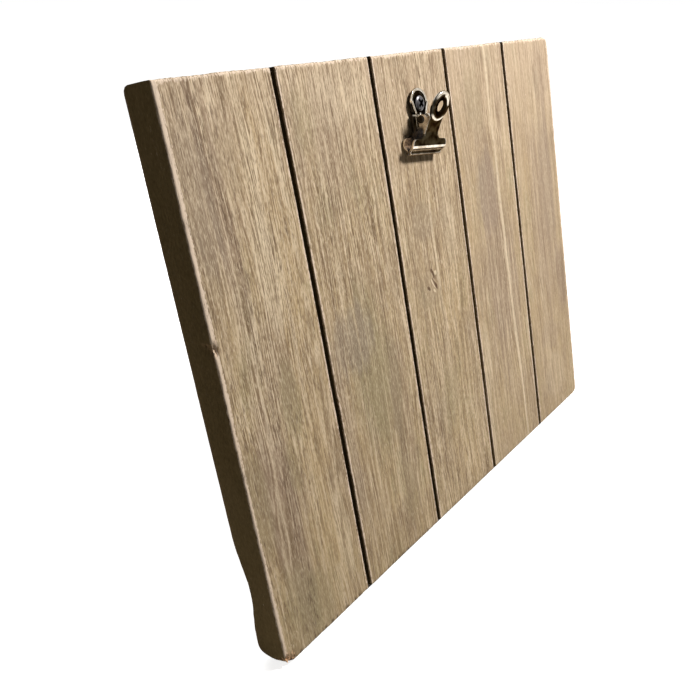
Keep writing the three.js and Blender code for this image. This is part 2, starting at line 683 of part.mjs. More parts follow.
const frame = new THREE.Group();
const leaning = board();
frame.add(leaning);
frame.updateMatrixWorld(true);
const extent = new THREE.Box3().setFromObject(frame, true);
leaning.position.set(0, -(extent.min.y + extent.max.y) / 2, -extent.min.z);

export default frame;
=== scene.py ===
"""Looks of the clipboard picture frame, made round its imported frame. Metres, the board faces -Y."""

import math

import bmesh
import bpy
from mathutils import Matrix, Vector, noise


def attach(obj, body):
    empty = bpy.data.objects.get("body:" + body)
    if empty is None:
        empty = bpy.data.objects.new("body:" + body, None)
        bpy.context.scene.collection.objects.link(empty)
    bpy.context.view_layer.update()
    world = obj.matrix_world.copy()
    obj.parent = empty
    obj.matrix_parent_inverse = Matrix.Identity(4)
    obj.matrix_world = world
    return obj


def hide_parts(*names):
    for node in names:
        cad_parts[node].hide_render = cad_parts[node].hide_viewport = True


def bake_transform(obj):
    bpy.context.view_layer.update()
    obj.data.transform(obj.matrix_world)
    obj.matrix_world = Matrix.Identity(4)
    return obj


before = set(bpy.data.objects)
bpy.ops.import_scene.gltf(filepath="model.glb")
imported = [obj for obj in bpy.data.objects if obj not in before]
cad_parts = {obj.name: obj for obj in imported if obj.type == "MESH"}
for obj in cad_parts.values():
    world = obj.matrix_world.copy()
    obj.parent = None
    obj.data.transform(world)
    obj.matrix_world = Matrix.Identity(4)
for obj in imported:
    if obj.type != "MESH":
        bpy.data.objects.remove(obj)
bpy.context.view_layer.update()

# Sizes in millimetres, as the frame was built
MILLIMETRE = Matrix.Scale(0.001, 4)
BOARD_WIDTH = 254
BOARD_HEIGHT = 193.5
BOARD_LEAN = math.radians(12)
BOARD_FOOT = Vector((0, -48.14219, 2.17752))  # lower front edge of the board
PLANK_COUNT = 5
LEFT_PLANK = 0
RIGHT_PLANK = PLANK_COUNT - 1
PLANK_THICKNESS = 12.8
PLANK_GAP = 2.2
INNER_PLANK_WIDTH = 49.6
OUTER_PLANK_WIDTH = 48.2

BATTEN_THICKNESS = 10
BATTEN_HEIGHT = 28
BATTEN_LENGTH = 228
BATTEN_MIDDLES = {"upper": 155.5, "lower": 34}  # above the board's foot
SEAT_GAP = 0.3
BATTEN_FRONT = PLANK_THICKNESS + SEAT_GAP
BATTEN_BACK = BATTEN_FRONT + BATTEN_THICKNESS
BRACKET_SHEET = 1.2
BRACKET_BACK = BATTEN_BACK + SEAT_GAP + BRACKET_SHEET
BRACKET_SCREW_HEIGHT = 162
BRACKET_SCREW_SPACING = 12
BESIDE_BRACKET = 17.4  # the middle plank's upper screw, from the board's middle
LEG_THICKNESS = 8
LEG_OPEN = math.radians(25)
EASEL_PIN_HEIGHT = 149
EASEL_PIN_DEPTH = BRACKET_BACK + SEAT_GAP + LEG_THICKNESS / 2

CLIP_DROP = 19.6  # the clip's screw below the board's top edge
CLIP_OFFSET = -0.5
CLIP_SWIVEL = math.radians(6)
LEVER_ANGLE = math.radians(25.5)
CLIP_REST = 0.5  # from the board's face to the crown of the back ring
CLIP_STANDOFF = 4.5  # from the pin to the crown of a ring
CLIP_SHEET = 0.8
RING_RISE = 6.4

# From a piece's own place in millimetres to the frame. The board's x runs across it, y back and z up.
FACE_BACK = Matrix.Rotation(-math.pi / 2, 4, "X")
FACE_FRONT = Matrix.Rotation(math.pi / 2, 4, "X")
LIE_ALONG_X = Matrix.Rotation(math.pi / 2, 4, "Y")
BOARD = MILLIMETRE @ Matrix.Translation(BOARD_FOOT) @ Matrix.Rotation(-BOARD_LEAN, 4, "X")
EASEL_PIN = BOARD @ Matrix.Translation((0, EASEL_PIN_DEPTH, EASEL_PIN_HEIGHT))
EASEL_LEG = EASEL_PIN @ Matrix.Rotation(LEG_OPEN, 4, "X")
CLIP = BOARD @ Matrix.Translation((CLIP_OFFSET, 0, BOARD_HEIGHT - CLIP_DROP)) @ FACE_FRONT
TO_HINGE = Matrix.Translation((0, -RING_RISE, CLIP_REST + CLIP_STANDOFF))
HINGE = CLIP @ Matrix.Rotation(-CLIP_SWIVEL, 4, "Z") @ TO_HINGE
REAR_PLATE = HINGE @ Matrix.Rotation(math.pi, 4, "Y")
FRONT_PLATE = HINGE @ Matrix.Rotation(LEVER_ANGLE, 4, "X")


def smooth_step(low, high, value):
    """0 before low, 1 past high and smooth between them. Low may be the higher of the two."""
    share = min(max((value - low) / (high - low), 0), 1)
    return share * share * (3 - 2 * share)


def srgb(red, green, blue):
    """A colour as it is picked on a screen, 0 to 255, in the linear values that shaders take."""
    def linear(level):
        share = level / 255
        return share / 12.92 if share <= 0.04045 else ((share + 0.055) / 1.055) ** 2.4
    return linear(red), linear(green), linear(blue), 1.0


def darker(color, share):
    return tuple(share * level for level in color[:3]) + (1,)


# Shaders

class Value:
    """A socket that holds a number, with the operators that shader maths needs."""

    def __init__(self, shader, socket):
        self.shader = shader
        self.socket = socket

    def math(self, operation, first, second):
        return self.shader.node("ShaderNodeMath", {"operation": operation}, {0: first, 1: second})

    def __add__(self, other):
        return self.math("ADD", self, other)

    def __radd__(self, other):
        return self.math("ADD", other, self)

    def __sub__(self, other):
        return self.math("SUBTRACT", self, other)

    def __rsub__(self, other):
        return self.math("SUBTRACT", other, self)

    def __mul__(self, other):
        return self.math("MULTIPLY", self, other)

    def __rmul__(self, other):
        return self.math("MULTIPLY", other, self)


class Shader:
    """A material's nodes, made one by one round its principled surface."""

    def __init__(self, name):
        self.material = bpy.data.materials.new(name)
        self.material.use_nodes = True
        self.tree = self.material.node_tree
        self.surface = self.tree.nodes["Principled BSDF"]

    def node(self, kind, settings=None, sockets=None, out=0):
        made = self.tree.nodes.new(kind)
        for name, setting in (settings or {}).items():
            if name == "stops":
                self.set_stops(made.color_ramp, setting)
            else:
                setattr(made, name, setting)
        for key, value in (sockets or {}).items():
            self.feed(made.inputs[key], value)
        return Value(self, made.outputs[out])

    @staticmethod
    def set_stops(ramp, stops):
        while len(ramp.elements) < len(stops):
            ramp.elements.new(1)
        for element, (position, color) in zip(ramp.elements, stops):
            element.position = position
            element.color = color

    def feed(self, socket, value):
        if isinstance(value, Value):
            self.tree.links.new(value.socket, socket)
        else:
            socket.default_value = value

    def set(self, **sockets):
        for name, value in sockets.items():
            self.feed(self.surface.inputs[name.replace("_", " ").title()], value)

    def set_shine(self, level):
        self.surface.inputs["Specular IOR Level"].default_value = level

    def point(self):
        """Where a surface point is in the frame, in metres."""
        return self.node("ShaderNodeTexCoord", out="Object")

    def place(self, matrix):
        """Where a surface point is in the millimetres of a piece whose matrix is given."""
        back = matrix.inverted()
        turn = back.to_quaternion().to_euler()
        shift, size = back.to_translation(), back.to_scale()
        return self.node("ShaderNodeMapping", {}, {
            "Vector": self.point(), "Location": shift, "Rotation": turn, "Scale": size})

    def noise(self, point, scale, shift=(0, 0, 0), detail=3, roughness=0.55):
        """Noise whose grains are 1 / scale long each way, in the point's own units."""
        stretched = self.node("ShaderNodeMapping", {}, {
            "Vector": point, "Scale": scale, "Location": shift})
        return self.node("ShaderNodeTexNoise", {}, {
            "Vector": stretched, "Scale": 1.0, "Detail": detail, "Roughness": roughness})

    def step(self, value, low, high):
        """0 before low, 1 past high and smooth between them."""
        return self.node("ShaderNodeMapRange", {"interpolation_type": "SMOOTHSTEP"}, {
            "Value": value, "From Min": low, "From Max": high})

    def ramp(self, value, *stops):
        return self.node("ShaderNodeValToRGB", {"stops": stops}, {"Fac": value})

    def mix(self, share, first, second):
        """Two colours mixed. Inputs 0, 6 and 7 are the share and the colours, and output 2 is the colour."""
        return self.node("ShaderNodeMix", {"data_type": "RGBA"}, {0: share, 6: first, 7: second}, out=2)

    def attribute(self, name):
        return self.node("ShaderNodeAttribute", {"attribute_name": name}, out="Fac")

    def bump(self, height, distance, strength):
        return self.node("ShaderNodeBump", {}, {
            "Height": height, "Distance": distance, "Strength": strength})

    def parts(self, point):
        """The x, y and z of a point."""
        split = self.node("ShaderNodeSeparateXYZ", {}, {0: point}).socket.node
        return [Value(self, socket) for socket in split.outputs]


# Weathering tints, and where they lie on each plank, in the board's millimetres
TINTS = {
    "olive": srgb(153, 140, 107),
    "mauve": srgb(150, 129, 112),
    "grey": srgb(150, 136, 119),
    "golden": srgb(200, 174, 133),
    "cream": srgb(232, 213, 182),
    "brown": srgb(122, 100, 76),
    "knot": srgb(80, 55, 40),
}
CALM_TINTS = ("olive", "grey")
STAINS = {
    # plank: (tint, place across the board, height, half width, half length, strength)
    0: [("mauve", -113, 150, 7, 60, 0.65), ("mauve", -112, 52, 9, 62, 0.65),
        ("golden", -94, 140, 12, 60, 0.55), ("golden", -93, 50, 10, 46, 0.5),
        ("olive", -114, 16, 10, 24, 0.5), ("grey", -119, 160, 8, 36, 0.45), ("cream", -97, 160, 4, 30, 0.5),
        ("mauve", -106, 102, 12, 22, 0.4), ("cream", -86, 30, 4, 26, 0.35), ("cream", -97, 132, 8, 24, 0.6),
        ("grey", -106, 170, 9, 16, 0.2), ("olive", -100, 88, 7, 16, 0.6), ("olive", -122, 60, 5, 22, 0.4),
        ("olive", -104, 66, 5, 12, 0.45), ("olive", -104, 12, 9, 16, 0.45)],
    1: [("olive", -53, 78, 16, 44, 0.85), ("grey", -62, 96, 15, 16, 0.75), ("mauve", -56, 165, 14, 32, 0.4),
        ("mauve", -73, 60, 4, 40, 0.5), ("olive", -69, 176, 7, 15, 0.5), ("cream", -32, 178, 2.5, 9, 0.8),
        ("mauve", -40, 50, 9, 50, 0.4), ("cream", -48, 182, 22, 12, 0.3), ("brown", -52, 10, 20, 14, 0.25),
        ("olive", -42, 24, 8, 18, 0.35)],
    2: [("olive", -3, 46, 11, 26, 0.5), ("brown", -6, 26, 1.6, 34, 0.35), ("cream", -0.4, 114, 1.1, 34, 0.6),
        ("golden", 8, 92, 9, 34, 0.5), ("grey", -6, 128, 11, 9, 0.45), ("golden", 5, 26, 15, 26, 0.6),
        ("cream", 12, 120, 6, 26, 0.35), ("grey", -9, 100, 10, 10, 0.3),
        ("cream", -2.2, 105.8, 1.2, 1.2, 0.9)],
    3: [("grey", 49, 128, 14, 20, 0.7), ("mauve", 54, 88, 20, 62, 0.6), ("cream", 31.5, 56, 5, 22, 0.5),
        ("golden", 29, 100, 4, 70, 0.5), ("cream", 28.5, 30, 3, 40, 0.4), ("olive", 44, 172, 9, 20, 0.45)],
    4: [("grey", 112, 126, 11, 40, 0.45), ("golden", 90, 130, 7, 30, 0.3), ("mauve", 118, 72, 8, 22, 0.6),
        ("cream", 101, 20, 16, 14, 0.25), ("golden", 88, 60, 8, 20, 0.35), ("mauve", 100, 44, 14, 10, 0.35),
        ("mauve", 106, 112, 18, 60, 0.5), ("mauve", 112, 176, 12, 18, 0.4), ("brown", 122, 70, 4, 18, 0.4)],
}
KNOTS = {
    # plank: (tint, place across the board, height, half width, half length)
    2: [("cream", -2.6, 105.9, 1.1, 1.1), ("cream", -5.3, 102.0, 0.7, 2.6), ("cream", -5.0, 98.8, 0.8, 1.0),
        ("knot", -4.5, 105.9, 1.0, 3.0), ("knot", -3.9, 101.5, 1.1, 3.1), ("knot", -8.9, 100.7, 1.1, 1.2)],
}
KNOT_LEAN = 0.53  # to the left going up
STREAKED_PLANK = 3
STREAK_FOOT = 63.1  # the cream streak's place at the foot, and how it leans to the left going up
STREAK_LEAN = 0.0215
PORED_PLANK = 0
PORE_LINE = -109.3  # a line of open pores, which bends to the left near the top
PORE_LINE_BEND = 5.5
DUST = srgb(194, 172, 154)

# One value for each plank
GRAIN_CONTRAST = (1.05, 1.05, 0.95, 0.65, 0.5)
PORE_CONTRAST = (0.6, 0.4, 0.25, 0.15, 0.1)
GRIT_CONTRAST = (1, 1, 0.9, 0.65, 0.55)
FOOT_CALM = (0.3, 0.3, 0, 0, 0)  # how much of the grain's contrast is lost towards the foot
DUSTING = (0.03, 0.03, 0.07, 0.14, 0.16)
FOOT_DARKENING = (0.8, 0.7, 0.3, 0.1, 0)  # how much darker the planks' feet are, in ragged patches


class WeatheredWood(Shader):
    """Dry weathered wood: streaked grain with open pores, dark in its gaps and pale on its worn edges."""

    def __init__(self, index):
        super().__init__(f"weathered_plank_{index + 1}")
        self.index = index
        place = self.place(BOARD)
        drift = (31.7 * index, 3.1 * index, 17.9 * index)
        first, second, third = drift
        self.sway = self.drawn(place, 0.03, 0.012, drift, detail=2)
        self.across, back, self.along = self.parts(place)
        swayed = self.across + 7 * self.sway
        grain = self.node("ShaderNodeCombineXYZ", {}, {0: swayed, 1: back, 2: self.along})

        self.blotch = self.drawn(grain, 0.08, 0.02, drift, detail=4)
        self.hue = self.drawn(grain, 0.06, 0.025, (third, 9, first), detail=4, roughness=0.68)
        self.calm = self.drawn(grain, 0.07, 0.02, (first, 3, second), detail=2)
        self.streak = self.drawn(grain, 0.4, 0.013, drift, detail=2, roughness=0.5)
        self.fibre = self.drawn(grain, 1.6, 0.13, drift, detail=3, roughness=0.65)
        ring = self.drawn(grain, 0.28, 0.009, (second, 8, third), detail=1)
        wave = self.node("ShaderNodeMath", {"operation": "SINE"}, {0: 56 * ring + 7 * self.fibre})
        self.comb = 0.5 + 0.5 * wave
        broken = self.drawn(grain, 0.5, 0.04, (third, 4, second), detail=2)
        self.dash = 0.35 + 0.65 * self.step(broken, 0.38, 0.6)
        cluster = self.drawn(grain, 0.12, 0.018, (second, 5, third), detail=3)
        pore = self.drawn(grain, 1.9, 0.2, drift, detail=2, roughness=0.5)
        self.open_pores = self.pores(pore, cluster)
        self.speck = self.drawn(place, 1.4, 0.7, drift, detail=2)
        self.grit = self.drawn(place, 2.6, 0.5, (third, 2, first), detail=2)
        self.notch = self.drawn(place, 0.5, 0.1, (second, 6, first), detail=1)
        self.calm_foot = FOOT_CALM[index] * self.step(self.along, 120, 30)

    def drawn(self, point, across, along, shift, detail, roughness=0.55):
        """Noise drawn out along the plank, whose grains are 1 / across wide and 1 / along long."""
        return self.noise(point, (across, across, along), shift, detail, roughness)

    def pores(self, pore, cluster):
        """Open pores in clusters, and on one plank along a line too."""
        if self.index == PORED_PLANK:
            bend = PORE_LINE_BEND * self.step(self.along, 140, 190)
            aside = self.across - PORE_LINE + bend + 5 * (self.sway - 0.5)
            near = self.step(aside * aside, 8, 0.5)
            cluster = cluster + 0.14 * near
            pore = pore - 0.035 * near
        return self.step(pore, 0.43, 0.36) * self.step(cluster, 0.46, 0.56)

    def spot(self, across, x, z, half_width, half_length):
        """How far a point is from a spot's middle, squared, with 1 on the spot's edge."""
        aside = (across - x) * (1 / half_width)
        aloft = (self.along - z) * (1 / half_length)
        return aside * aside + aloft * aloft

    def stained(self):
        """The wood's tone under its stains, and the contrast of its grain, which some stains calm."""
        tone = self.ramp(
            0.75 * self.hue + 0.25 * self.blotch,
            (0.36, srgb(153, 132, 105)),
            (0.45, srgb(174, 151, 119)),
            (0.54, srgb(184, 161, 124)),
            (0.64, srgb(160, 145, 109)))
        # Paler towards the top: partly weathering, partly painted light and sheen from above.
        color = self.mix(0.45 * self.step(self.along, 125, BOARD_HEIGHT), tone, srgb(208, 185, 163))
        contrast = GRAIN_CONTRAST[self.index] * (0.7 + 0.4 * self.step(self.calm, 0.36, 0.58))
        contrast = contrast * (1 - self.calm_foot)
        swayed = self.across + 6 * (self.sway - 0.5)
        for tint, x, z, half_width, half_length, strength in STAINS[self.index]:
            apart = self.spot(swayed, x, z, half_width, half_length)
            share = self.step(apart + 1.6 * (self.blotch - 0.5) + 1.2 * (self.streak - 0.5), 1.0, 0.2)
            color = self.mix(strength * share, color, TINTS[tint])
            if tint in CALM_TINTS:
                contrast = contrast * (1 - 0.7 * share)
        if self.index == STREAKED_PLANK:
            aside = self.across + STREAK_LEAN * self.along - STREAK_FOOT + 5 * (self.sway - 0.5)
            line = self.step(aside * aside, 1.6, 0.2) * self.step(self.fibre + self.blotch, 0.76, 0.96)
            color = self.mix(0.95 * line, color, TINTS["cream"])
        return color, contrast

    def grained(self, color, contrast):
        """A colour with broad streaks, a comb of fine lines, pores, grit and dust over it."""
        banding = 0.35 + 0.65 * contrast
        color = self.mix(0.45 * banding * self.step(self.streak, 0.52, 0.66), color, srgb(224, 203, 172))
        color = self.mix(0.4 * banding * self.step(self.streak, 0.47, 0.34), color, srgb(138, 116, 94))
        dark_lines = 0.75 * contrast * self.dash * self.step(self.comb, 0.42, 0.05)
        color = self.mix(dark_lines, color, srgb(114, 93, 68))
        pale_lines = 0.65 * contrast * self.dash * self.step(self.comb, 0.6, 0.95)
        color = self.mix(pale_lines, color, srgb(232, 212, 182))
        color = self.mix(PORE_CONTRAST[self.index] * self.open_pores, color, srgb(98, 76, 60))
        grittiness = GRIT_CONTRAST[self.index] * (1 - 1.4 * self.calm_foot)
        color = self.mix(0.55 * grittiness * self.step(self.grit, 0.49, 0.34), color, srgb(124, 102, 80))
        color = self.mix(0.50 * grittiness * self.step(self.grit, 0.53, 0.68), color, srgb(232, 213, 184))
        return self.mix(DUSTING[self.index], color, DUST)

    def marked(self, color):
        """A colour, darker in ragged patches along the foot, with the knots over it."""
        dark_foot = FOOT_DARKENING[self.index] * self.step(self.along, 2.6, 0.8) * self.step(self.notch, 0.52, 0.62)
        color = self.mix(dark_foot, color, srgb(84, 66, 46))
        for tint, x, z, half_width, half_length in KNOTS.get(self.index, []):
            leant = self.across + KNOT_LEAN * (self.along - z)
            apart = self.spot(leant, x, z, half_width, half_length) + 1.4 * (self.grit - 0.5)
            color = self.mix(0.8 * self.step(apart, 1.0, 0.4), color, TINTS[tint])
        return color

    def sided(self, color):
        """A front's colour, with outer sides in a darker tone that partly paints their shade, a plain back
        and painted shade in the gaps.
        """
        # The sides' darker tone partly paints their shade, and it is lighter towards the foot.
        side_tone_and_shade = self.ramp(
            0.5 * self.blotch + 0.5 * self.speck + 0.14 * self.step(self.along, 150, 10),
            (0.35, srgb(112, 93, 57)),
            (0.75, srgb(156, 133, 94)))
        plain = self.ramp(
            0.5 * self.streak + 0.3 * self.fibre + 0.2 * self.blotch,
            (0.36, srgb(128, 104, 75)),
            (0.62, srgb(172, 144, 108)))
        behind = self.mix(self.attribute("back"), side_tone_and_shade, plain)
        color = self.mix(self.attribute("side"), color, behind)
        # Painted shade deep in the gaps.
        return self.mix(self.attribute("gap"), color, srgb(60, 49, 29))

    def edged(self, color):
        """A colour with pale worn edges, which also paint highlights on the arrises, and raw wood in the
        chips.
        """
        ragged = self.attribute("worn") + 1.1 * (self.fibre - 0.5) + 1.3 * (self.speck - 0.5)
        ragged = ragged + 0.8 * (self.blotch - 0.5)
        color = self.mix(0.9 * self.step(ragged, 0.34, 0.66), color, srgb(237, 216, 194))
        # Raw wood in the chips, painted bright to stand in for light that their facets don't catch.
        bare = self.ramp(self.speck, (0.40, srgb(96, 62, 40)), (0.58, srgb(250, 206, 164)))
        return self.mix(self.attribute("raw"), color, bare)


def plank_look(index):
    shader = WeatheredWood(index)
    front = shader.marked(shader.grained(*shader.stained()))
    height = 0.5 * shader.fibre + 0.35 * shader.streak - 0.6 * shader.open_pores
    shader.set(
        base_color=shader.edged(shader.sided(front)),
        roughness=0.74 + 0.2 * shader.fibre,
        normal=shader.bump(height, 0.0003, 0.55))
    shader.set_shine(0.1)
    return shader.material


def plain_wood_look(name, matrix, along_x, dark, pale, sheen):
    """Planed wood with straight grain along a piece's x or z."""
    shader = Shader(name)
    place = shader.place(matrix)
    def scale(across, along):
        return (along, across, across) if along_x else (across, across, along)
    ring = shader.noise(place, scale(0.22, 0.006))
    fibre = shader.noise(place, scale(1.5, 0.03), roughness=0.65)
    pore = shader.noise(place, scale(2.4, 0.12), detail=2)
    smudge = shader.noise(place, (0.05, 0.05, 0.05))
    tone = shader.ramp(0.55 * ring + 0.3 * fibre + 0.15 * smudge, (0.38, dark), (0.62, pale))
    shader.set(
        base_color=shader.mix(0.6 * shader.step(pore, 0.42, 0.33), tone, darker(dark, 0.45)),
        roughness=sheen + 0.2 * fibre,
        normal=shader.bump(fibre + 0.5 * ring, 0.0002, 0.4))
    shader.set_shine(0.3)
    return shader.material


def plating(shader, grains):
    """A plated surface's smudges, with so many grains in a metre, its fine scratches and its dents."""
    point = shader.point()
    cloud = shader.noise(point, (grains, grains, grains), detail=4)
    scratch = shader.noise(point, (5200, 700, 900), detail=2)
    dents = shader.bump(cloud + 0.3 * scratch, 0.00002, 0.25)
    return cloud, shader.step(scratch, 0.55, 0.7), dents


def metal_look(name, color, roughness, smudged):
    """Plated steel with faint smudges, fine scratches and some grime, and painted shade in a screw's recess.
    """
    shader = Shader(name)
    cloud, scratches, dents = plating(shader, 260)
    grimy = shader.mix(0.35 * shader.step(cloud, 0.52, 0.72), color, darker(color, 0.35))
    shader.set(
        # Painted shade: a screw's recess is near black.
        base_color=shader.mix(0.95 * shader.attribute("recess"), grimy, (0.004, 0.004, 0.004, 1)),
        metallic=1.0,
        roughness=roughness + smudged * cloud + 0.06 * scratches,
        normal=dents)
    return shader.material


def nickel_look():
    """Nickel plate: dark patina that also paints dark reflections, rubbed bright with painted highlights
    where it stands out, brown inside the jaw.
    """
    shader = Shader("nickel_steel")
    cloud, scratches, dents = plating(shader, 420)
    rust = shader.noise(shader.point(), (1100, 1100, 1100))
    rub_and_light_mark = shader.attribute("rubbed")
    # Patina, which also paints the dark reflections on the plates.
    dark_patina_and_reflection = shader.ramp(cloud, (0.36, (0.010, 0.008, 0.006, 1)), (0.64, (0.046, 0.039, 0.028, 1)))
    # Darker still where the plates are painted in shade.
    patina_and_painted_shade = shader.mix(shader.step(rub_and_light_mark, 0, -0.5), dark_patina_and_reflection, (0.007, 0.005, 0.003, 1))
    # Rubbed metal, which also carries the painted highlights and reflections.
    bright = shader.ramp(cloud, (0.34, (0.42, 0.36, 0.28, 1)), (0.60, (0.80, 0.73, 0.63, 1)))
    rubbed = shader.step(rub_and_light_mark + 0.4 * (cloud - 0.5), 0.2, 0.85)
    plated = shader.mix(rubbed, patina_and_painted_shade, bright)
    brown = shader.ramp(
        0.5 * cloud + 0.5 * rust,
        (0.42, (0.026, 0.016, 0.010, 1)),
        (0.58, (0.21, 0.133, 0.078, 1)))
    dull = shader.attribute("dull")
    worn_roughness = 0.3 - 0.12 * rubbed + 0.25 * dull
    shader.set(
        base_color=shader.mix(dull, plated, brown),
        metallic=1 - 0.8 * dull,
        roughness=worn_roughness + 0.12 * (cloud - 0.5) + 0.05 * scratches,
        normal=dents,
        specular_tint=(0.41, 0.35, 0.27, 1))
    return shader.material


# Meshes

SLIVER = 0.0005  # an edge shorter than this is taken out
SHARP = math.radians(40)  # an edge that turns more than this stays sharp


def linked(bm, name):
    mesh = bpy.data.meshes.new(name)
    bm.to_mesh(mesh)
    bm.free()
    made = bpy.data.objects.new(name, mesh)
    bpy.context.scene.collection.objects.link(made)
    return made


def discard(work):
    mesh = work.data
    bpy.data.objects.remove(work)
    bpy.data.meshes.remove(mesh)


def applied(work):
    """A work object's mesh with its modifiers applied. The object is removed."""
    graph = bpy.context.evaluated_depsgraph_get()
    bm = bmesh.new()
    bm.from_mesh(work.evaluated_get(graph).to_mesh())
    discard(work)
    return bm


def modified(bm, *modifiers):
    work = linked(bm, "work")
    for kind, settings in modifiers:
        modifier = work.modifiers.new(kind.lower(), kind)
        for name, setting in settings.items():
            setattr(modifier, name, setting)
    return applied(work)


def combined(operation, first, *others):
    """Closed meshes joined into one, or cut from the first, with no slivers left."""
    work = linked(first, "work")
    tools = [linked(bm, "tool") for bm in others]
    for tool in tools:
        modifier = work.modifiers.new("combine", "BOOLEAN")
        modifier.operation = operation
        modifier.solver = "EXACT"
        modifier.object = tool
    bm = applied(work)
    for tool in tools:
        discard(tool)
    bmesh.ops.remove_doubles(bm, verts=bm.verts, dist=SLIVER)
    many_sided = [face for face in bm.faces if len(face.verts) > 4]
    bmesh.ops.triangulate(bm, faces=many_sided, ngon_method="BEAUTY")
    bmesh.ops.dissolve_degenerate(bm, dist=SLIVER, edges=bm.edges)
    return bm


def eased(bm, width, segments=2, angle=50):
    """Edges that turn more than an angle, in degrees, rounded over."""
    sharp = [edge for edge in bm.edges
             if len(edge.link_faces) == 2 and edge.calc_face_angle() > math.radians(angle)]
    bmesh.ops.bevel(bm, geom=sharp, offset=width, offset_type="OFFSET", segments=segments,
                    profile=0.5, affect="EDGES", material=-1, clamp_overlap=True)
    return bm


def slab(points, height):
    """An outline drawn in x and y, raised from z = 0."""
    bm = bmesh.new()
    bm.faces.new([bm.verts.new((x, y, 0)) for x, y in points])
    raised = bmesh.ops.extrude_face_region(bm, geom=bm.faces[:])["geom"]
    top = [part for part in raised if isinstance(part, bmesh.types.BMVert)]
    bmesh.ops.translate(bm, verts=top, vec=(0, 0, height))
    bmesh.ops.recalc_face_normals(bm, faces=bm.faces)
    return bm


def turned(points, rounding, steps=48):
    """A closed profile of (radius, height) corners, rounded over and spun about z."""
    bm = bmesh.new()
    bm.faces.new([bm.verts.new((radius, 0, height)) for radius, height in points])
    corners = [vert for vert in bm.verts if vert.co.x > 1e-6]
    bmesh.ops.bevel(bm, geom=corners, offset=rounding, offset_type="OFFSET", segments=3,
                    profile=0.5, affect="VERTICES", material=-1, clamp_overlap=True)
    axis = [edge for edge in bm.edges if all(vert.co.x < 1e-6 for vert in edge.verts)]
    bmesh.ops.delete(bm, geom=bm.faces[:], context="FACES_ONLY")
    bmesh.ops.delete(bm, geom=axis, context="EDGES")
    bmesh.ops.spin(bm, geom=bm.verts[:] + bm.edges[:], cent=(0, 0, 0), axis=(0, 0, 1),
                   angle=2 * math.pi, steps=steps, use_merge=True)
    bmesh.ops.remove_doubles(bm, verts=bm.verts, dist=1e-5)
    bmesh.ops.recalc_face_normals(bm, faces=bm.faces)
    return bm


def block(size, middle, taper=1.0):
    """A block, whose lower end may be narrowed."""
    bm = bmesh.new()
    bmesh.ops.create_cube(bm, size=1)
    for vert in bm.verts:
        if vert.co.z < 0:
            vert.co.x *= taper
            vert.co.y *= taper
    bmesh.ops.scale(bm, vec=size, verts=bm.verts)
    bmesh.ops.translate(bm, vec=middle, verts=bm.verts)
    return bm


def moved(bm, matrix):
    bmesh.ops.transform(bm, matrix=matrix, verts=bm.verts)
    return bm


def frame_copy(node):
    """A copy of a frame node's mesh, merged into whole faces."""
    bm = bmesh.new()
    bm.from_mesh(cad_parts[node].data)
    bmesh.ops.remove_doubles(bm, verts=bm.verts, dist=1e-7)
    bmesh.ops.dissolve_limit(bm, angle_limit=math.radians(1), verts=bm.verts, edges=bm.edges)
    return bm


def finished(bm, name, body, material, node):
    """The mesh as a piece that rides on a body and stands for one of the frame's nodes."""
    for face in bm.faces:
        face.smooth = True
    for edge in bm.edges:
        edge.smooth = len(edge.link_faces) == 2 and edge.calc_face_angle() < SHARP
    made = linked(bm, name)
    made.data.materials.append(material)
    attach(made, body)
    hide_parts(node)


# Planks. In a plank's place x runs from its left side, y from its front and z from its foot.

PLANK_COLUMNS = 100
PLANK_ROWS = 160
ROUND_ROWS = 3
SIDE_ROWS = 4
FRONT_ROUND = 0.9  # of a plank's ends, and its long edges have the arrises below
BACK_ROUND = 2.6
OUTER_ARRIS = 0.7
INNER_ARRIS = 0.15
BACK_ARRIS = 0.15
GRAIN_DEPTH = 0.16
EDGE_WEAR = 0.45
GAP_WEAR = 0.5  # of the edges beside a gap, as a share of that
WEAR_REACH = 0.9  # how far wear reaches in from a long edge
END_WEAR_REACH = 0.8
WEAR_DEPTH = 5  # behind the front, where an edge keeps its least share of wear
LEAST_WEAR = 0.25
CORNER_ROUND = 4.5  # of the right plank's outer corners
FOOT_CORNER_ROUND = 2.4  # of the left plank's lower corner
HEEL_ROUND = 5.5  # of its lower back edge, by the left side
GAP_BOW = (0.7, 0.6, 0.6, 0.25)  # how far each gap's upper end bends to the left
BOW_START = 130
WANE_RISE = 27.5
WANE_HALF_LENGTH = 21
WANE_DEPTH = 2.75
WANE_REACH = 14
PALE_REACH = 3  # from the board's right side, where the front's colour goes round the edge
PALE_DEPTH = 0.6
GAP_REACH = 1  # from a gap, where a plank's side is painted in shade
LIT_DEPTH = (0, 0.3, 0.3, 0.6, 0.6)  # how far light reaches down each plank's left side in a gap
HANDLED = (55, 105)  # heights between which the board's left edge becomes more rubbed
HANDLED_RUB = 0.08
LEFT_EDGE_RUB = (0.74, 1.0, 2.0)  # how rubbed an edge is, and how far in that starts and ends to fade
RIGHT_EDGE_RUB = (0.75, 1.0, 2.6)
LEFT_GAP_RUB = (0.58, 0.7, 1.4)
# Pale wear on each right arris beside a gap, which also paints the highlight that the arris catches.
RIGHT_GAP_WEAR_AND_HIGHLIGHT = (0.58, 0.5, 1.3)
TOP_RUB = (0.6, 0.5, 2.0)
FOOT_RUB = (0.55, 0.5, 1.6)
CHIPS = {
    # plank: (distance from its left side, height, reach, depth, raw wood shown)
    0: [(1.2, 0.9, 3.3, 1.3, 1.0), (0.2, 115.6, 2.4, 1.5, 0.3), (0.0, 153.0, 1.8, 0.5, 0.0),
        (0.0, 72.0, 2.2, 0.5, 0.0)],
    2: [(21.9, 103.6, 2.4, 0.7, 0.0)],
}


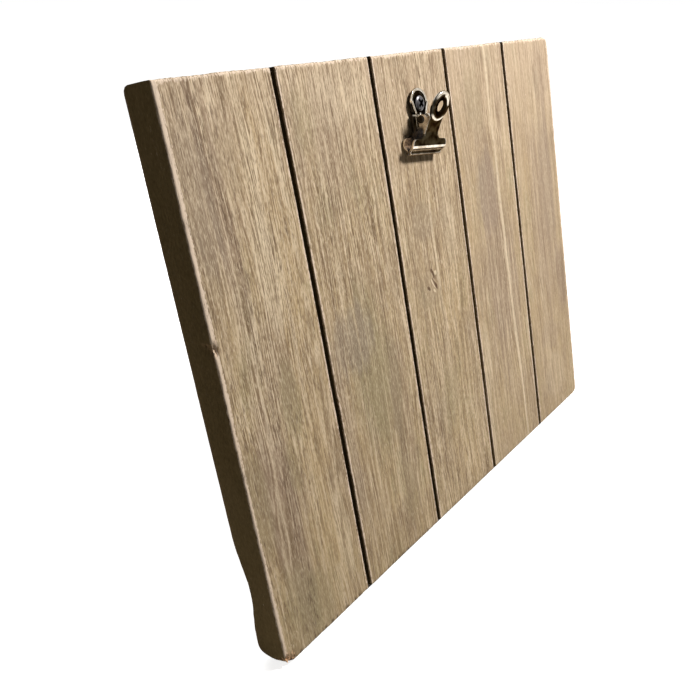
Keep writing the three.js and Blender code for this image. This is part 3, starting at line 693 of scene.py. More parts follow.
def plank_sides(index):
    """Where a plank's left and right sides are, from the board's middle."""
    outer = (LEFT_PLANK, RIGHT_PLANK)
    widths = [OUTER_PLANK_WIDTH if i in outer else INNER_PLANK_WIDTH for i in range(PLANK_COUNT)]
    left = -BOARD_WIDTH / 2 + sum(widths[:index]) + PLANK_GAP * index
    return left, left + widths[index]


def plank_rows():
    """For each row from front to back: the insets of outer edges, inner edges and ends, and its depth."""
    rows = []
    for step in range(ROUND_ROWS + 1):
        turn = math.pi / 2 * step / ROUND_ROWS
        inset = 1 - math.sin(turn)
        depth = FRONT_ROUND * (1 - math.cos(turn))
        rows.append((OUTER_ARRIS * inset, INNER_ARRIS * inset, FRONT_ROUND * inset, depth))
    straight = PLANK_THICKNESS - FRONT_ROUND - BACK_ROUND
    for step in range(1, SIDE_ROWS):
        rows.append((0, 0, 0, FRONT_ROUND + straight * step / SIDE_ROWS))
    for step in range(ROUND_ROWS + 1):
        turn = math.pi / 2 * step / ROUND_ROWS
        inset = 1 - math.cos(turn)
        depth = PLANK_THICKNESS - BACK_ROUND * (1 - math.sin(turn))
        rows.append((BACK_ARRIS * inset, BACK_ARRIS * inset, BACK_ROUND * inset, depth))
    return rows


def plank_blank(row_count):
    """A unit block: a front grid, its copy behind, and rows of faces round the rim between them."""
    bm = bmesh.new()
    bmesh.ops.create_grid(bm, x_segments=PLANK_COLUMNS, y_segments=PLANK_ROWS, size=0.5)
    bmesh.ops.rotate(bm, verts=bm.verts, matrix=Matrix.Rotation(math.pi / 2, 3, "X"))
    copied = bmesh.ops.duplicate(bm, geom=bm.verts[:] + bm.edges[:] + bm.faces[:])["geom"]
    behind = [part for part in copied if isinstance(part, bmesh.types.BMVert)]
    bmesh.ops.translate(bm, verts=behind, vec=(0, 1, 0))
    back_faces = [part for part in copied if isinstance(part, bmesh.types.BMFace)]
    bmesh.ops.reverse_faces(bm, faces=back_faces)
    bmesh.ops.bridge_loops(bm, edges=[edge for edge in bm.edges if edge.is_boundary])
    across = [edge for edge in bm.edges if abs(edge.verts[0].co.y - edge.verts[1].co.y) > 0.5]
    bmesh.ops.subdivide_edges(bm, edges=across, cuts=row_count - 2, use_grid_fill=True)
    return bm


def edge_wear(along, seed):
    """How far an edge is worn in at a place along it, with a few splinters missing."""
    slow = noise.noise((0.05 * along, seed, 0.4))
    quick = noise.noise((0.4 * along, seed, 7.3))
    splinter = max(0, noise.noise((0.16 * along, seed, 3.9)) - 0.45)
    return max(0, EDGE_WEAR * (0.35 + 0.5 * slow + 0.5 * quick)) + 1.6 * splinter


def worn_in(index, width, x, z, depth):
    """Where wear of the long edges and the ends, most of all at the front, leaves a point."""
    hold = LEAST_WEAR + (1 - LEAST_WEAR) * (1 - smooth_step(0, WEAR_DEPTH, depth))
    left_wear = hold * (1 if index == LEFT_PLANK else GAP_WEAR) * edge_wear(z, 11.3 * index)
    right_wear = hold * (1 if index == RIGHT_PLANK else GAP_WEAR) * edge_wear(z, 11.3 * index + 5)
    to_right = width - x
    x += left_wear * math.exp(-x / WEAR_REACH) - right_wear * math.exp(-to_right / WEAR_REACH)
    to_end = min(z, BOARD_HEIGHT - z)
    nibble = hold * edge_wear(2 * x + 400 * index, 2.1) * math.exp(-to_end / END_WEAR_REACH)
    return x, z + (nibble if z < BOARD_HEIGHT / 2 else -nibble)


def corner_round(to_side, to_end, radius):
    """How far a point near a corner moves in from the side and from the end, so that the corner is an arc."""
    near_side = max(0, 1 - to_side / radius)
    near_end = max(0, 1 - to_end / radius)
    from_side = radius * near_side * (1 - math.sqrt(1 - near_end ** 2 / 2))
    from_end = radius * near_end * (1 - math.sqrt(1 - near_side ** 2 / 2))
    return from_side, from_end


def rounded_in(index, width, x, z):
    """Where the round of the board's outer corners leaves a point."""
    if index == RIGHT_PLANK:
        to_end = min(z, BOARD_HEIGHT - z)
        from_side, from_end = corner_round(width - x, to_end, CORNER_ROUND)
        return x - from_side, z + (from_end if z < BOARD_HEIGHT / 2 else -from_end)
    if index == LEFT_PLANK:
        from_side, from_end = corner_round(x, z, FOOT_CORNER_ROUND)
        return x + from_side, z + from_end
    return x, z


def grain_relief(across, along, seed):
    """How far a front face lies back at a point: open pores are deep and hard streaks stand out."""
    coarse = noise.noise((0.16 * across, 0.006 * along, seed))
    fine = noise.noise((0.62 * across + 0.5 * coarse, 0.02 * along, seed + 5))
    lift = 0.4 * coarse + 0.9 * fine
    return GRAIN_DEPTH * (0.55 - 0.5 * lift)


def chipped(index, x, y, z, to_left):
    """Where chips leave a point, and how much raw wood shows there."""
    raw = 0
    for chip_x, chip_z, reach, deep, bare in CHIPS.get(index, []):
        apart = math.dist((x, 0.8 * y, z), (chip_x, 0, chip_z)) / reach
        if apart < 1.4:
            rough = 0.75 + 0.6 * noise.noise((1.1 * x, 1.1 * y, 0.7 * z))
            gone = deep * rough * (1 - smooth_step(0.35, 1.1, apart))
            y += gone * (1 - y / PLANK_THICKNESS)
            x += 0.9 * gone * math.exp(-to_left / 2)
            z += 0.15 * gone * math.exp(-z / 2) * bare
            raw = max(raw, bare * (1 - smooth_step(0.55, 0.85, apart * rough)))
    return x, y, z, raw


def wane(across, along):
    """Depth of the bark edge missing from the back of the left plank."""
    share = abs(along - WANE_RISE) / WANE_HALF_LENGTH
    if share >= 1 or across >= WANE_REACH:
        return 0
    fade = 1 - smooth_step(0, WANE_REACH, across)
    return WANE_DEPTH * (0.5 + 0.5 * math.cos(math.pi * share)) * fade


def hollowed(x, y, z):
    """Where the left plank's wane and the round of its heel leave a point."""
    rough = 1 - 0.12 * noise.noise((0.4 * x, 0, 0.25 * z))
    y = min(y, PLANK_THICKNESS - wane(x, z) * rough)
    from_back, from_end = corner_round(PLANK_THICKNESS - y, z, HEEL_ROUND)
    outward = 1 - smooth_step(0, WANE_REACH, x)
    return y - outward * from_back, z + outward * from_end


def gap_bow(gap, along):
    """How far a gap lies to the left of its straight line at a height."""
    if gap not in range(len(GAP_BOW)):
        return 0
    return GAP_BOW[gap] * smooth_step(BOW_START, BOARD_HEIGHT, along)


def rubbed_edge(strength, start, end, distance):
    """How worn a point is by its distance from an edge."""
    return strength * (1 - smooth_step(start, end, distance))


def plank_marks(index, to_left, to_right, z, depth):
    """How much a point belongs to a plank's sides, back, painted gap shade and worn edges with painted
    highlights, which its look reads.
    """
    right_side = index == RIGHT_PLANK and to_right < PALE_REACH
    pale_depth = PALE_DEPTH if right_side else 0
    side = smooth_step(0.3, 1.0, depth - pale_depth)
    back = smooth_step(PLANK_THICKNESS - 1.2, PLANK_THICKNESS - 0.1, depth)
    in_gap = (to_left < GAP_REACH and index > LEFT_PLANK) or (to_right < GAP_REACH and index < RIGHT_PLANK)
    lit_depth = LIT_DEPTH[index] if to_left < GAP_REACH else 0
    # Painted shade on a plank's side in a gap, below the depth that light reaches.
    gap = smooth_step(0.2, 0.7, depth - lit_depth) * (1 - back) if in_gap else 0
    handled = smooth_step(*HANDLED, z) if index == LEFT_PLANK else 0
    strength, start, end = LEFT_EDGE_RUB if index == LEFT_PLANK else LEFT_GAP_RUB
    left_rub = rubbed_edge(strength + HANDLED_RUB * handled, start, end + handled, to_left)
    # Wear on the right edges, which also paints the highlight that they catch.
    right_wear_and_highlight = rubbed_edge(*(RIGHT_EDGE_RUB if right_side else RIGHT_GAP_WEAR_AND_HIGHLIGHT), to_right)
    top_rub = rubbed_edge(*TOP_RUB, BOARD_HEIGHT - z)
    strength, start, end = FOOT_RUB
    foot_rub = rubbed_edge(strength * (1 - FOOT_DARKENING[index]), start, end, z)
    in_front = 1 - smooth_step(0.3, 0.9, depth - pale_depth)
    worn = in_front * max(left_rub, right_wear_and_highlight, top_rub, foot_rub)
    return {"side": side, "back": back, "gap": gap, "worn": worn}


def plank(index):
    left, right = plank_sides(index)
    width = right - left
    rows = plank_rows()
    bm = plank_blank(len(rows))
    layers = {name: bm.verts.layers.float.new(name) for name in ("side", "gap", "back", "worn", "raw")}
    for vert in bm.verts:
        row = round(vert.co.y * (len(rows) - 1))
        outer, inner, end, depth = rows[row]
        left_inset = outer if index == LEFT_PLANK else inner
        right_inset = outer if index == RIGHT_PLANK else inner
        to_left = left_inset + (vert.co.x + 0.5) * (width - left_inset - right_inset)
        to_foot = BOARD_HEIGHT / 2 + vert.co.z * (BOARD_HEIGHT - 2 * end)
        x, z = worn_in(index, width, to_left, to_foot, depth)
        x, z = rounded_in(index, width, x, z)
        y = depth + grain_relief(x + left, z, 7.7 * index) if row <= 1 else depth
        x, y, z, raw = chipped(index, x, y, z, to_left)
        if index == LEFT_PLANK:
            y, z = hollowed(x, y, z)
        for name, amount in plank_marks(index, to_left, width - to_left, z, depth).items():
            vert[layers[name]] = amount
        vert[layers["raw"]] = raw
        share = x / width
        bow = (1 - share) * gap_bow(index - 1, z) + share * gap_bow(index, z)
        vert.co = (left + x - bow, y, z)
    node = f"plank_{index + 1}"
    finished(moved(bm, BOARD), f"weathered_{node}", "board", plank_look(index), node)


# Screws, with the head's face up and the underside of a pan head or the top of a flat head at z = 0

CROSS_WIDTH = 1.6
CROSS_DEPTH = 1.2
SCREW_POINT = 2.4
BATTEN_SCREW = {"radius": 3.4, "height": 2.2, "shank": 1.6, "length": 18}
BRACKET_SCREW = {"radius": 2.8, "height": 1.6, "shank": 1.4, "length": 8.5}
CLIP_SCREW = {"radius": 3.0, "height": 0.9, "shank": 1.75, "length": 12}


def cross_cut(head, length, top, turn):
    """A tapered cross recess cut into a screw's head."""
    arms = []
    for quarter in (0, math.pi / 2):
        arm = block((length, CROSS_WIDTH, 2 * CROSS_DEPTH), (0, 0, top), taper=0.5)
        arms.append(moved(arm, Matrix.Rotation(turn + quarter, 4, "Z")))
    bm = combined("DIFFERENCE", head, *arms)
    # The recess's faces, which the metal's look paints in shade.
    recess = bm.faces.layers.float.new("recess")
    for face in bm.faces:
        middle = face.calc_center_median()
        near = math.hypot(middle.x, middle.y) < length / 2
        face[recess] = 1 if near and 0.3 < top - middle.z < CROSS_DEPTH + 0.05 else 0
    return bm


def pan_screw(radius, height, shank, length, turn):
    dome = [(0, height), (0.45 * radius, 0.97 * height), (0.8 * radius, 0.74 * height),
            (0.97 * radius, 0.36 * height), (radius, 0.12 * height), (0.97 * radius, 0)]
    body = [(shank, 0), (shank, SCREW_POINT - length), (0, -length)]
    return cross_cut(turned(dome + body, 0.05), 1.75 * radius, height, turn)


def flat_screw(radius, height, shank, length, turn):
    head = [(0, 0), (radius, 0), (radius, -0.2)]
    body = [(shank, -height), (shank, SCREW_POINT - length), (0, -length)]
    return cross_cut(turned(head + body, 0.08), 1.6 * radius, 0, turn)


# Back of the board

BATTEN_ROUND = 1.1
BATTEN_CUTS = 40
BATTEN_SWAY = 0.18  # how uneven its long edges are, and its back
BATTEN_BACK_SWAY = 0.1
EASEL_PIN_SIZES = {"radius": 1.5, "head_radius": 2.6, "head": 1.0, "under": 8.8}


def batten(row):
    """A planed batten, a little uneven along its length."""
    middle = BATTEN_MIDDLES[row]
    bm = block((BATTEN_LENGTH, BATTEN_THICKNESS, BATTEN_HEIGHT), (0, 0, 0))
    eased(bm, BATTEN_ROUND, segments=3)
    long_edges = [edge for edge in bm.edges if abs(edge.verts[0].co.x - edge.verts[1].co.x) > BATTEN_HEIGHT]
    bmesh.ops.subdivide_edges(bm, edges=long_edges, cuts=BATTEN_CUTS, use_grid_fill=True)
    for vert in bm.verts:
        x, y, z = vert.co
        sway = noise.noise((0.03 * x, 0.2 * y, middle)) + 0.4 * noise.noise((0.21 * x, 0.3 * z, middle))
        vert.co.z -= BATTEN_SWAY * (1 + sway) * (1 if z > 0 else -1)
        vert.co.y -= BATTEN_BACK_SWAY * (1 + sway) * (1 if y > 0 else 0)
    moved(bm, Matrix.Translation((0, (BATTEN_FRONT + BATTEN_BACK) / 2, middle)))
    sinks = [moved(countersink(), batten_screw_place(row, index)) for index in range(PLANK_COUNT)]
    bm = moved(combined("DIFFERENCE", bm, *sinks), BOARD)
    look = plain_wood_look(f"{row}_batten_wood", BOARD, along_x=True,
                           dark=srgb(136, 105, 72), pale=srgb(186, 152, 110), sheen=0.7)
    finished(bm, f"planed_{row}_batten", "board", look, f"{row}_batten")


def countersink():
    """What a batten screw's hole takes out of a batten, clear of the screw all round."""
    wide = BATTEN_SCREW["radius"] + SEAT_GAP
    narrow = BATTEN_SCREW["shank"] + SEAT_GAP
    above, below = 2, -2 * BATTEN_THICKNESS
    shoulder = -BATTEN_SCREW["height"] - SEAT_GAP
    profile = [(0, above), (wide, above), (wide, -SEAT_GAP), (narrow, shoulder), (narrow, below), (0, below)]
    return turned(profile, 0.02)


def batten_screw_place(row, index):
    """Where a batten screw's head is on the board: in the middle of its plank, clear of the bracket."""
    x = sum(plank_sides(index)) / 2
    if row == "upper" and index == PLANK_COUNT // 2:
        x += BESIDE_BRACKET
    return Matrix.Translation((x, BATTEN_BACK - SEAT_GAP, BATTEN_MIDDLES[row])) @ FACE_BACK


def headed_pin(radius, head_radius, head, under):
    """A pin along x with a domed head outside each of two ears."""
    end = under + head
    half = [(radius, under), (head_radius, under), (head_radius, end - 0.7 * head),
            (0.7 * head_radius, end - 0.15 * head), (0, end)]
    other_half = [(out, -along) for out, along in reversed(half)]
    return moved(turned(other_half + half, 0.06, steps=32), LIE_ALONG_X)


def back_of_board():
    zinc = metal_look("zinc_steel", (0.48, 0.48, 0.46, 1), roughness=0.32, smudged=0.16)
    for row in BATTEN_MIDDLES:
        batten(row)
        for index in range(PLANK_COUNT):
            turn = 0.7 * index + (0.4 if row == "upper" else 1.3)
            screw = moved(flat_screw(**BATTEN_SCREW, turn=turn), BOARD @ batten_screw_place(row, index))
            node = f"{row}_batten_screw_{index + 1}"
            finished(screw, f"cross_head_{node}", "board", zinc, node)
    for index, side in enumerate((-1, 1)):
        middle = (side * BRACKET_SCREW_SPACING / 2, BRACKET_BACK + SEAT_GAP, BRACKET_SCREW_HEIGHT)
        screw = pan_screw(**BRACKET_SCREW, turn=0.5 + 1.1 * index)
        moved(screw, BOARD @ Matrix.Translation(middle) @ FACE_BACK)
        node = f"bracket_screw_{index + 1}"
        finished(screw, f"cross_head_{node}", "board", zinc, node)
    bracket = eased(frame_copy("easel_bracket"), 0.0002, angle=60)
    finished(bracket, "pressed_easel_bracket", "board", zinc, "easel_bracket")
    pin = moved(headed_pin(**EASEL_PIN_SIZES), EASEL_PIN)
    finished(pin, "domed_easel_pin", "board", zinc, "easel_pin")
    leg = eased(frame_copy("easel_leg"), 0.0003)
    look = plain_wood_look("stained_leg_wood", EASEL_LEG, along_x=False,
                           dark=srgb(96, 70, 44), pale=srgb(146, 112, 76), sheen=0.45)
    finished(leg, "tapered_easel_leg", "easel_leg", look, "easel_leg")


# Bulldog clip. In a plate's place x runs across, y up its lever and z out of the clip, from the pin's axis.

RING_RADIUS = 5.9
RING_HOLE_RADIUS = 2.2
RING_CREST = 4.2  # radius where the dome is highest
RING_RIM = 1.3
RIM_EDGE = CLIP_STANDOFF - RING_RIM
RIM_INSIDE = RING_RADIUS - 1.0
RING_FALL = 0.3
FRONT_NECK = 4.65  # half widths
REAR_NECK = 5.7
NECK_MIDDLE = 3.4  # of the sheet, in front of the pin
NECK_END = 2.2
WAIST_DROP = 3.9
WAIST_DEPTH = 1
SHOULDER_RADIUS = 2.6
WING_HALF_WIDTH = 11.8
WING_TOP = 6.5
WING_CORNER = 1.8
RIDGE_DROP = 9.45
RIDGE_RISE = 0.2
LIP_HALF_WIDTH = 10.6
LIP_TOP = 12
LIP_END = 12.8
LIP_CURL = 0.5
EAR_THICKNESS = 0.8
EAR_TIP = 1.8
EAR_FOOT = -4.6
EAR_TOP = 1.4
REAR_EAR = FRONT_NECK - CLIP_SHEET - SEAT_GAP  # half width outside the back plate's ears
FLANGE_ROOT = Vector((3.1, 2.0, 0))
FLANGE_TOP = Vector((5.5, RING_RISE + 0.9, 0))
FLANGE_EDGE = 2.7  # in front of the pin
FLANGE_THICKNESS = 0.9
PLATE_COLUMNS = 30
PLATE_ROWS = 76
CLIP_PIN_RADIUS = 1
CLIP_PIN_SIZES = {"radius": CLIP_PIN_RADIUS, "head_radius": 1.5, "head": 0.35, "under": FRONT_NECK + 0.1}
PIN_HOLE_RADIUS = CLIP_PIN_RADIUS + 0.2
PIN_HOLE_REACH = 20
SPRING_WIRE = 0.8
SPRING_RADIUS = 2
SPRING_PITCH = 1.3
SPRING_TURNS = 2
SPRING_LEG_TOP = 2.7
SPRING_LEG_OUT = 2.2
SPRING_STEPS = 60


def from_middle_plane(along, out):
    """A place on the clip's middle plane, as (y, z) of a plate."""
    half = LEVER_ANGLE / 2
    return along * math.cos(half) + out * math.sin(half), out * math.cos(half) - along * math.sin(half)


def plate_line():
    """The sheet seen on edge: flared lip, fold at the ridge, waist and neck."""
    plate = CLIP_STANDOFF - CLIP_SHEET / 2
    lip_out = SEAT_GAP / 2 + CLIP_SHEET / 2
    return [
        from_middle_plane(-LIP_END - LIP_CURL, lip_out + LIP_CURL),
        from_middle_plane(-LIP_END, lip_out),
        from_middle_plane(-LIP_TOP, lip_out),
        (-RIDGE_DROP, plate + RIDGE_RISE),
        (-WAIST_DROP, plate - WAIST_DEPTH),
        (NECK_END, NECK_MIDDLE),
    ]


def plate_half_width(y, neck):
    """Half width of a plate at a height: neck, rounded shoulder, wing and tapered lip."""
    if y > SHOULDER_RADIUS - WING_TOP:
        return neck
    if y > -WING_TOP:
        drop = SHOULDER_RADIUS - WING_TOP - y
        return neck + SHOULDER_RADIUS - math.sqrt(SHOULDER_RADIUS ** 2 - drop ** 2)
    if y > -WING_TOP - WING_CORNER:
        rise = y + WING_TOP + WING_CORNER
        return WING_HALF_WIDTH - WING_CORNER + math.sqrt(WING_CORNER ** 2 - rise ** 2)
    taper = max(0, (-RIDGE_DROP - y) / (LIP_END + LIP_CURL - RIDGE_DROP))
    return WING_HALF_WIDTH + (LIP_HALF_WIDTH - WING_HALF_WIDTH) * min(taper, 1)


def plate_sheet(neck):
    """The pressed sheet below a ring, with rounded folds and edges."""
    line = [Vector(point) for point in plate_line()]
    lengths = [(after - before).length for before, after in zip(line, line[1:])]
    bm = bmesh.new()
    bmesh.ops.create_grid(bm, x_segments=PLATE_COLUMNS, y_segments=PLATE_ROWS, size=0.5)
    for vert in bm.verts:
        along = (vert.co.y + 0.5) * sum(lengths)
        part = 0
        while part < len(lengths) - 1 and along > lengths[part]:
            along -= lengths[part]
            part += 1
        y, z = line[part].lerp(line[part + 1], along / lengths[part])
        vert.co = (2 * vert.co.x * plate_half_width(y, neck), y, z)
    for _ in range(4):
        bmesh.ops.smooth_vert(bm, verts=bm.verts, factor=0.5, use_axis_y=True, use_axis_z=True)
    bmesh.ops.recalc_face_normals(bm, faces=bm.faces)
    return modified(
        bm,
        ("SOLIDIFY", {"thickness": CLIP_SHEET, "offset": 0, "use_even_offset": True}),
        ("BEVEL", {"width": 0.2, "segments": 2, "limit_method": "ANGLE", "angle_limit": math.radians(60)}))


def plate_ring():
    """The domed ring with its deep turned-in rim."""
    crown = CLIP_STANDOFF
    inside = crown - CLIP_SHEET
    under = [(RING_HOLE_RADIUS, inside - RING_FALL), (RING_CREST, inside), (RIM_INSIDE, inside - 0.1)]
    rim = [(RIM_INSIDE, RIM_EDGE), (RING_RADIUS, RIM_EDGE)]
    dome = [(RING_RADIUS, crown - 0.45), (5.5, crown - 0.1), (RING_CREST, crown), (3.2, crown - 0.12),
            (RING_HOLE_RADIUS, crown - RING_FALL)]
    return moved(turned(under + rim + dome, 0.16, steps=64), Matrix.Translation((0, RING_RISE, 0)))


def plate_ear(outer, side):
    """An ear bent in from the neck, with a round tip about the pin."""
    steps = 10
    turns = [math.pi * (1 + i / steps) for i in range(steps + 1)]
    tip = [(EAR_TIP * math.cos(turn), EAR_TIP * math.sin(turn)) for turn in turns]
    shape = [(EAR_FOOT, NECK_MIDDLE - 0.25)] + tip + [(EAR_TOP, NECK_MIDDLE)]
    bm = eased(slab(shape, EAR_THICKNESS), 0.12, angle=70)
    to_side = Matrix(((0, 0, 1, 0), (1, 0, 0, 0), (0, 1, 0, 0), (0, 0, 0, 1)))
    start = side * outer - (EAR_THICKNESS if side > 0 else 0)
    return moved(bm, Matrix.Translation((start, 0, 0)) @ to_side)


def plate_flange(side):
    """The turned-in edge of the back lever between its ring and its ear."""
    run = FLANGE_TOP - FLANGE_ROOT
    height = NECK_MIDDLE + 0.3 - FLANGE_EDGE
    bm = eased(block((FLANGE_THICKNESS, run.length, height), (0, 0, FLANGE_EDGE + height / 2)), 0.15)
    lean = Matrix.Rotation(-math.atan2(run.x, run.y), 4, "Z")
    moved(bm, Matrix.Translation((FLANGE_ROOT + FLANGE_TOP) / 2) @ lean)
    if side < 0:
        moved(bm, Matrix.Scale(-1, 4, (1, 0, 0)))
        bmesh.ops.reverse_faces(bm, faces=bm.faces)
    return bm


def pin_hole():
    corners = [(0, -PIN_HOLE_REACH), (PIN_HOLE_RADIUS, -PIN_HOLE_REACH),
               (PIN_HOLE_RADIUS, PIN_HOLE_REACH), (0, PIN_HOLE_REACH)]
    return moved(turned(corners, 0.01, steps=32), LIE_ALONG_X)


def clip_plate(neck, ear_outer, *flanges):
    """A sheet, ring and ears joined into one plate, with the pin's hole through it."""
    ears = [plate_ear(ear_outer, side) for side in (-1, 1)]
    whole = combined("UNION", plate_sheet(neck), plate_ring(), *ears, *flanges)
    return combined("DIFFERENCE", whole, pin_hole())


def ring_highlight(x, y, z):
    """How bright a ring is, in painted highlights along its rim's upper inner edge and at the two ends of its
    dome's edge.
    """
    from_ring = math.hypot(x, y - RING_RISE)
    if z < CLIP_STANDOFF - 0.6:
        bright = smooth_step(RIM_INSIDE - 0.2, RIM_INSIDE, from_ring)
        bright *= 1 - smooth_step(0.15, 0.4, z - RIM_EDGE)
        bright *= smooth_step(-0.6, 0.6, y - RING_RISE)
    else:
        lengthwise = abs(y - RING_RISE) / max(from_ring, 0.1)
        bright = smooth_step(4.2, 5.1, from_ring) * smooth_step(0.2, 0.95, lengthwise)
    return bright * (1 - smooth_step(RING_RADIUS + 0.05, RING_RADIUS + 0.5, from_ring))


def dome_glint_and_shade(x, y, z, shine):
    """How bright a ring's dome is in a painted glint to the upper right, and how dark in painted shade round
    its hole.
    """
    if z <= RIM_EDGE:
        return 0, 0
    from_ring = math.hypot(x, y - RING_RISE)
    to_corner = (x + y - RING_RISE) / max(math.sqrt(2) * from_ring, 0.1)
    bright = shine * smooth_step(0.6, 0.9, to_corner)
    bright *= smooth_step(3.2, 3.6, from_ring) * smooth_step(4.8, 4.4, from_ring)
    return bright, 0.5 * smooth_step(4.4, 3.7, from_ring) * (1 - bright)


def jaw_highlight(x, y):
    """How bright a jaw is, in painted highlights and reflections on its ridge, the crease under it, its lip
    and its wings' edges.
    """
    ridge = 1 - smooth_step(0.45, 0.75, abs(y + RIDGE_DROP))
    crease = 0.9 * (1 - smooth_step(0.15, 0.5, abs(y + RIDGE_DROP + 1.35)))
    lip = 0.6 * smooth_step(11.95, 12.35, -y)
    if y >= -WING_TOP:
        return max(ridge, crease, lip)
    wing_edge = 0.7 * smooth_step(0.4, 0.1, plate_half_width(y, FRONT_NECK) - abs(x))
    return max(ridge, crease, lip, wing_edge)


def lever_highlight(x, y, z, ear_outer, ear_painted_reflection):
    """How bright the ears and the turned-in edges of a lever are: painted reflections on the ears, painted
    highlights on the edges.
    """
    on_ear = z < NECK_MIDDLE - 0.3 or abs(x) > ear_outer - 0.05
    ear = ear_painted_reflection if on_ear and -5.2 < y < 2.2 and abs(x) < ear_outer + 0.1 else 0
    on_flange = abs(x) > 2.5 and 1.6 < y < RING_RISE + 1.5
    flange = 1 - smooth_step(0.15, 0.45, z - FLANGE_EDGE) if on_flange else 0
    return max(ear, flange)


def mark_rub_and_painted_light(bm, ear_outer, ear_painted_reflection, dome_painted_glint):
    """Marks where a plate is rubbed bright, where it has painted highlights, reflections and shade, and where
    the inside of its jaw is dull.
    """
    rubbed = bm.verts.layers.float.new("rubbed")
    dull = bm.verts.layers.float.new("dull")
    bm.normal_update()
    for vert in bm.verts:
        x, y, z = vert.co
        dome, painted_shade = dome_glint_and_shade(x, y, z, dome_painted_glint)
        lever = lever_highlight(x, y, z, ear_outer, ear_painted_reflection)
        vert[rubbed] = max(ring_highlight(x, y, z), jaw_highlight(x, y), lever, dome) - painted_shade
        vert[dull] = smooth_step(0.2, 0.6, -vert.normal.z) * smooth_step(2.5, 4.0, -y)
    return bm


def clip_spring():
    """The torsion spring on the pin, with a leg up each lever, and the length of its turns."""
    tip = math.atan2(SPRING_LEG_OUT, SPRING_LEG_TOP)
    reach = math.hypot(SPRING_LEG_OUT, SPRING_LEG_TOP)
    tangent = math.acos(SPRING_RADIUS / reach)
    start = -tip - tangent
    end = LEVER_ANGLE + tip + tangent - 2 * math.pi * (SPRING_TURNS + 1)
    length = SPRING_PITCH * (start - end) / (2 * math.pi)
    leg = math.sqrt(reach ** 2 - SPRING_RADIUS ** 2)
    bm = bmesh.new()
    bmesh.ops.create_circle(bm, cap_ends=False, radius=SPRING_WIRE / 2, segments=12)
    first_end = bm.edges[:]
    moved(bm, Matrix.Rotation(start, 4, "X") @ Matrix.Translation((-length / 2, SPRING_RADIUS, 0)))
    spun = bmesh.ops.spin(bm, geom=bm.verts[:] + bm.edges[:], cent=(0, 0, 0), axis=(1, 0, 0),
                          angle=end - start, steps=SPRING_STEPS, dvec=(length / SPRING_STEPS, 0, 0))
    last_end = [part for part in spun["geom_last"] if isinstance(part, bmesh.types.BMEdge)]
    for loop, angle, way in ((first_end, start, 1), (last_end, end, -1)):
        grown = bmesh.ops.extrude_edge_only(bm, edges=loop)["geom"]
        verts = [part for part in grown if isinstance(part, bmesh.types.BMVert)]
        along = Vector((0, -math.sin(angle), math.cos(angle))) * way
        bmesh.ops.translate(bm, verts=verts, vec=along * leg)
    bmesh.ops.holes_fill(bm, edges=bm.edges)
    bmesh.ops.recalc_face_normals(bm, faces=bm.faces)
    return bm, length


def bulldog_clip():
    nickel = nickel_look()
    wire = metal_look("spring_steel", (0.72, 0.68, 0.61, 1), roughness=0.16, smudged=0.06)
    dark = metal_look("dark_screw_steel", (0.115, 0.11, 0.115, 1), roughness=0.26, smudged=0.12)
    rear = clip_plate(REAR_NECK, REAR_EAR, plate_flange(-1), plate_flange(1))
    rear = moved(mark_rub_and_painted_light(rear, REAR_EAR, ear_painted_reflection=0.85, dome_painted_glint=0), REAR_PLATE)
    finished(rear, "pressed_clip_rear_plate", "clip_rear", nickel, "clip_rear_plate")
    front = clip_plate(FRONT_NECK, FRONT_NECK)
    front = moved(mark_rub_and_painted_light(front, FRONT_NECK, ear_painted_reflection=0.52, dome_painted_glint=0.85), FRONT_PLATE)
    finished(front, "pressed_clip_front_plate", "clip_front", nickel, "clip_front_plate")
    pin = moved(headed_pin(**CLIP_PIN_SIZES), HINGE)
    finished(pin, "domed_clip_pin", "clip_rear", nickel, "clip_pin")
    seat = CLIP_REST + CLIP_SHEET + RING_FALL + SEAT_GAP
    screw = moved(pan_screw(**CLIP_SCREW, turn=math.radians(38)), CLIP @ Matrix.Translation((0, 0, seat)))
    finished(screw, "cross_head_clip_screw", "board", dark, "clip_screw")
    coil, length = clip_spring()
    spring = linked(moved(coil, HINGE), "wound_clip_spring")
    for polygon in spring.data.polygons:
        polygon.use_smooth = True
    spring.data.materials.append(wire)
    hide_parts("clip_spring")
    HINGE @ Vector((-length / 2, 0, 0))
    HINGE @ Vector((length / 2, 0, 0))
    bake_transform(spring)


for plank_index in range(PLANK_COUNT):
    plank(plank_index)
back_of_board()
bulldog_clip()


# Stage, in metres

FLOOR_SIZE = 12
FLOOR_LIGHT = (0.26, 0.25, 0.22, 1)  # to rays that light the frame
FLOOR_PALE = (0.8, 0.8, 0.8, 1)
FLOOR_GLOW = (0.83, 0.83, 0.83, 1)  # near the frame, where its shadow falls
STUDIO_LIGHT = (0.06, 0.056, 0.05, 1)
WHITE = (1, 1, 1, 1)
BLACK = (0, 0, 0, 1)
SHADE_STRIP_INSET = 0.012  # of the painted shade on the floor under the board, from the board's sides
CAMERA_LENS = 39.766
CAMERA_SENSOR = 36
CAMERA_PLACE = (-0.26905, -0.18252, 0.21339)
CAMERA_AIM = Vector((0.72289, 0.54614, -0.42328))


def seen_rays(shader):
    """1 for rays that show a surface to the camera, straight or in metal, and 0 for those that light it."""
    kinds = ("Is Camera Ray", "Is Glossy Ray", "Is Transmission Ray")
    straight, glossy, through = (shader.node("ShaderNodeLightPath", out=kind) for kind in kinds)
    return shader.node("ShaderNodeMath", {"operation": "ADD", "use_clamp": True}, {
        0: straight + glossy, 1: through})


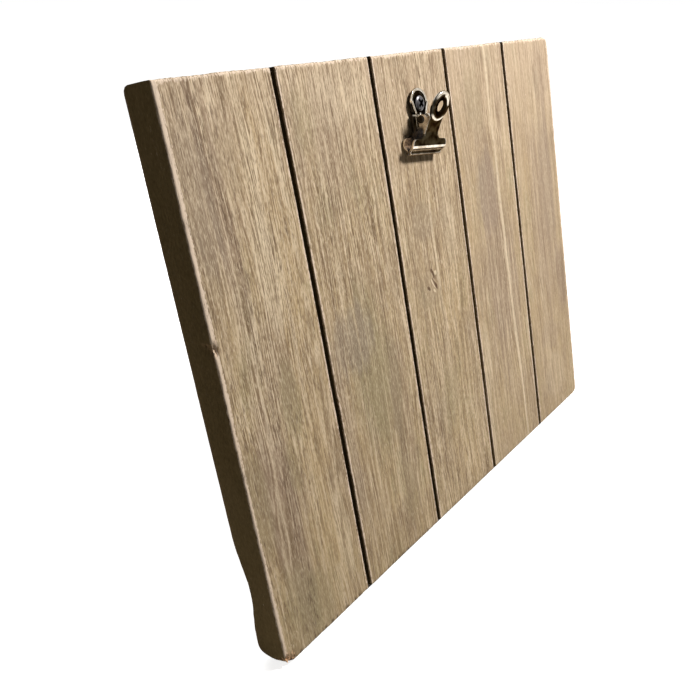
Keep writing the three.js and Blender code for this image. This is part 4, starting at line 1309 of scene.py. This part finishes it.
def soft_stage():
    """A pale floor that shows as white with the frame's shadow on it, and is painted in shade just under the
    board.
    """
    bm = bmesh.new()
    bmesh.ops.create_grid(bm, x_segments=1, y_segments=1, size=FLOOR_SIZE)
    floor = linked(bm, "floor")
    shader = Shader("pale_floor")
    seen = seen_rays(shader)
    across, back, _ = shader.parts(shader.point())
    far = shader.step(across * across + back * back, 0.1, 0.8)
    shown = shader.mix(far, FLOOR_GLOW, WHITE)
    depth = 1000 * back - BOARD_FOOT.y
    under = shader.step(depth, 1.8, 2.2) * shader.step(depth, PLANK_THICKNESS - 0.6, PLANK_THICKNESS - 1)
    half_width = 0.0005 * BOARD_WIDTH - SHADE_STRIP_INSET
    beside = shader.step(across * across, half_width ** 2, (half_width - 0.001) ** 2)
    # Painted shade: the floor under the board, seen through the gaps, is black.
    shown = shader.mix(under * beside, shown, BLACK)
    shader.set(
        base_color=shader.mix(seen, FLOOR_LIGHT, FLOOR_PALE),
        roughness=1.0,
        emission_color=shader.mix(seen, BLACK, shown),
        emission_strength=1)
    shader.set_shine(0)
    floor.data.materials.append(shader.material)


class Surround(Shader):
    """The world's nodes."""

    def __init__(self):
        self.world = bpy.data.worlds.new("studio")
        self.world.use_nodes = True
        self.tree = self.world.node_tree
        background = self.tree.nodes["Background"]
        self.feed(background.inputs["Color"], self.mix(seen_rays(self), STUDIO_LIGHT, WHITE))
        background.inputs["Strength"].default_value = 1


def lamp(name, place, target, size, power, color):
    light = bpy.data.lights.new(name, "AREA")
    light.shape = "DISK"
    light.size = size
    light.energy = power
    light.color = color
    made = bpy.data.objects.new(name, light)
    made.location = place
    made.rotation_euler = (Vector(target) - Vector(place)).to_track_quat("-Z", "Y").to_euler()
    bpy.context.scene.collection.objects.link(made)


def photo_camera():
    data = bpy.data.cameras.new("camera")
    data.lens = CAMERA_LENS
    data.sensor_width = CAMERA_SENSOR
    data.clip_start = 0.01
    made = bpy.data.objects.new("camera", data)
    made.location = CAMERA_PLACE
    made.rotation_euler = CAMERA_AIM.to_track_quat("-Z", "Y").to_euler()
    bpy.context.scene.collection.objects.link(made)
    bpy.context.scene.camera = made


soft_stage()
bpy.context.scene.world = Surround().world
lamp("key", place=(0.26, -0.40, 0.66), target=(0, -0.02, 0.12),
     size=0.15, power=6.9, color=(1.0, 0.98, 0.955))
lamp("back_fill", place=(0.35, 0.80, 0.50), target=(0, 0.02, 0.10),
     size=0.6, power=7, color=(1.0, 0.98, 0.96))
photo_camera()
bpy.context.scene.view_settings.view_transform = "Standard"
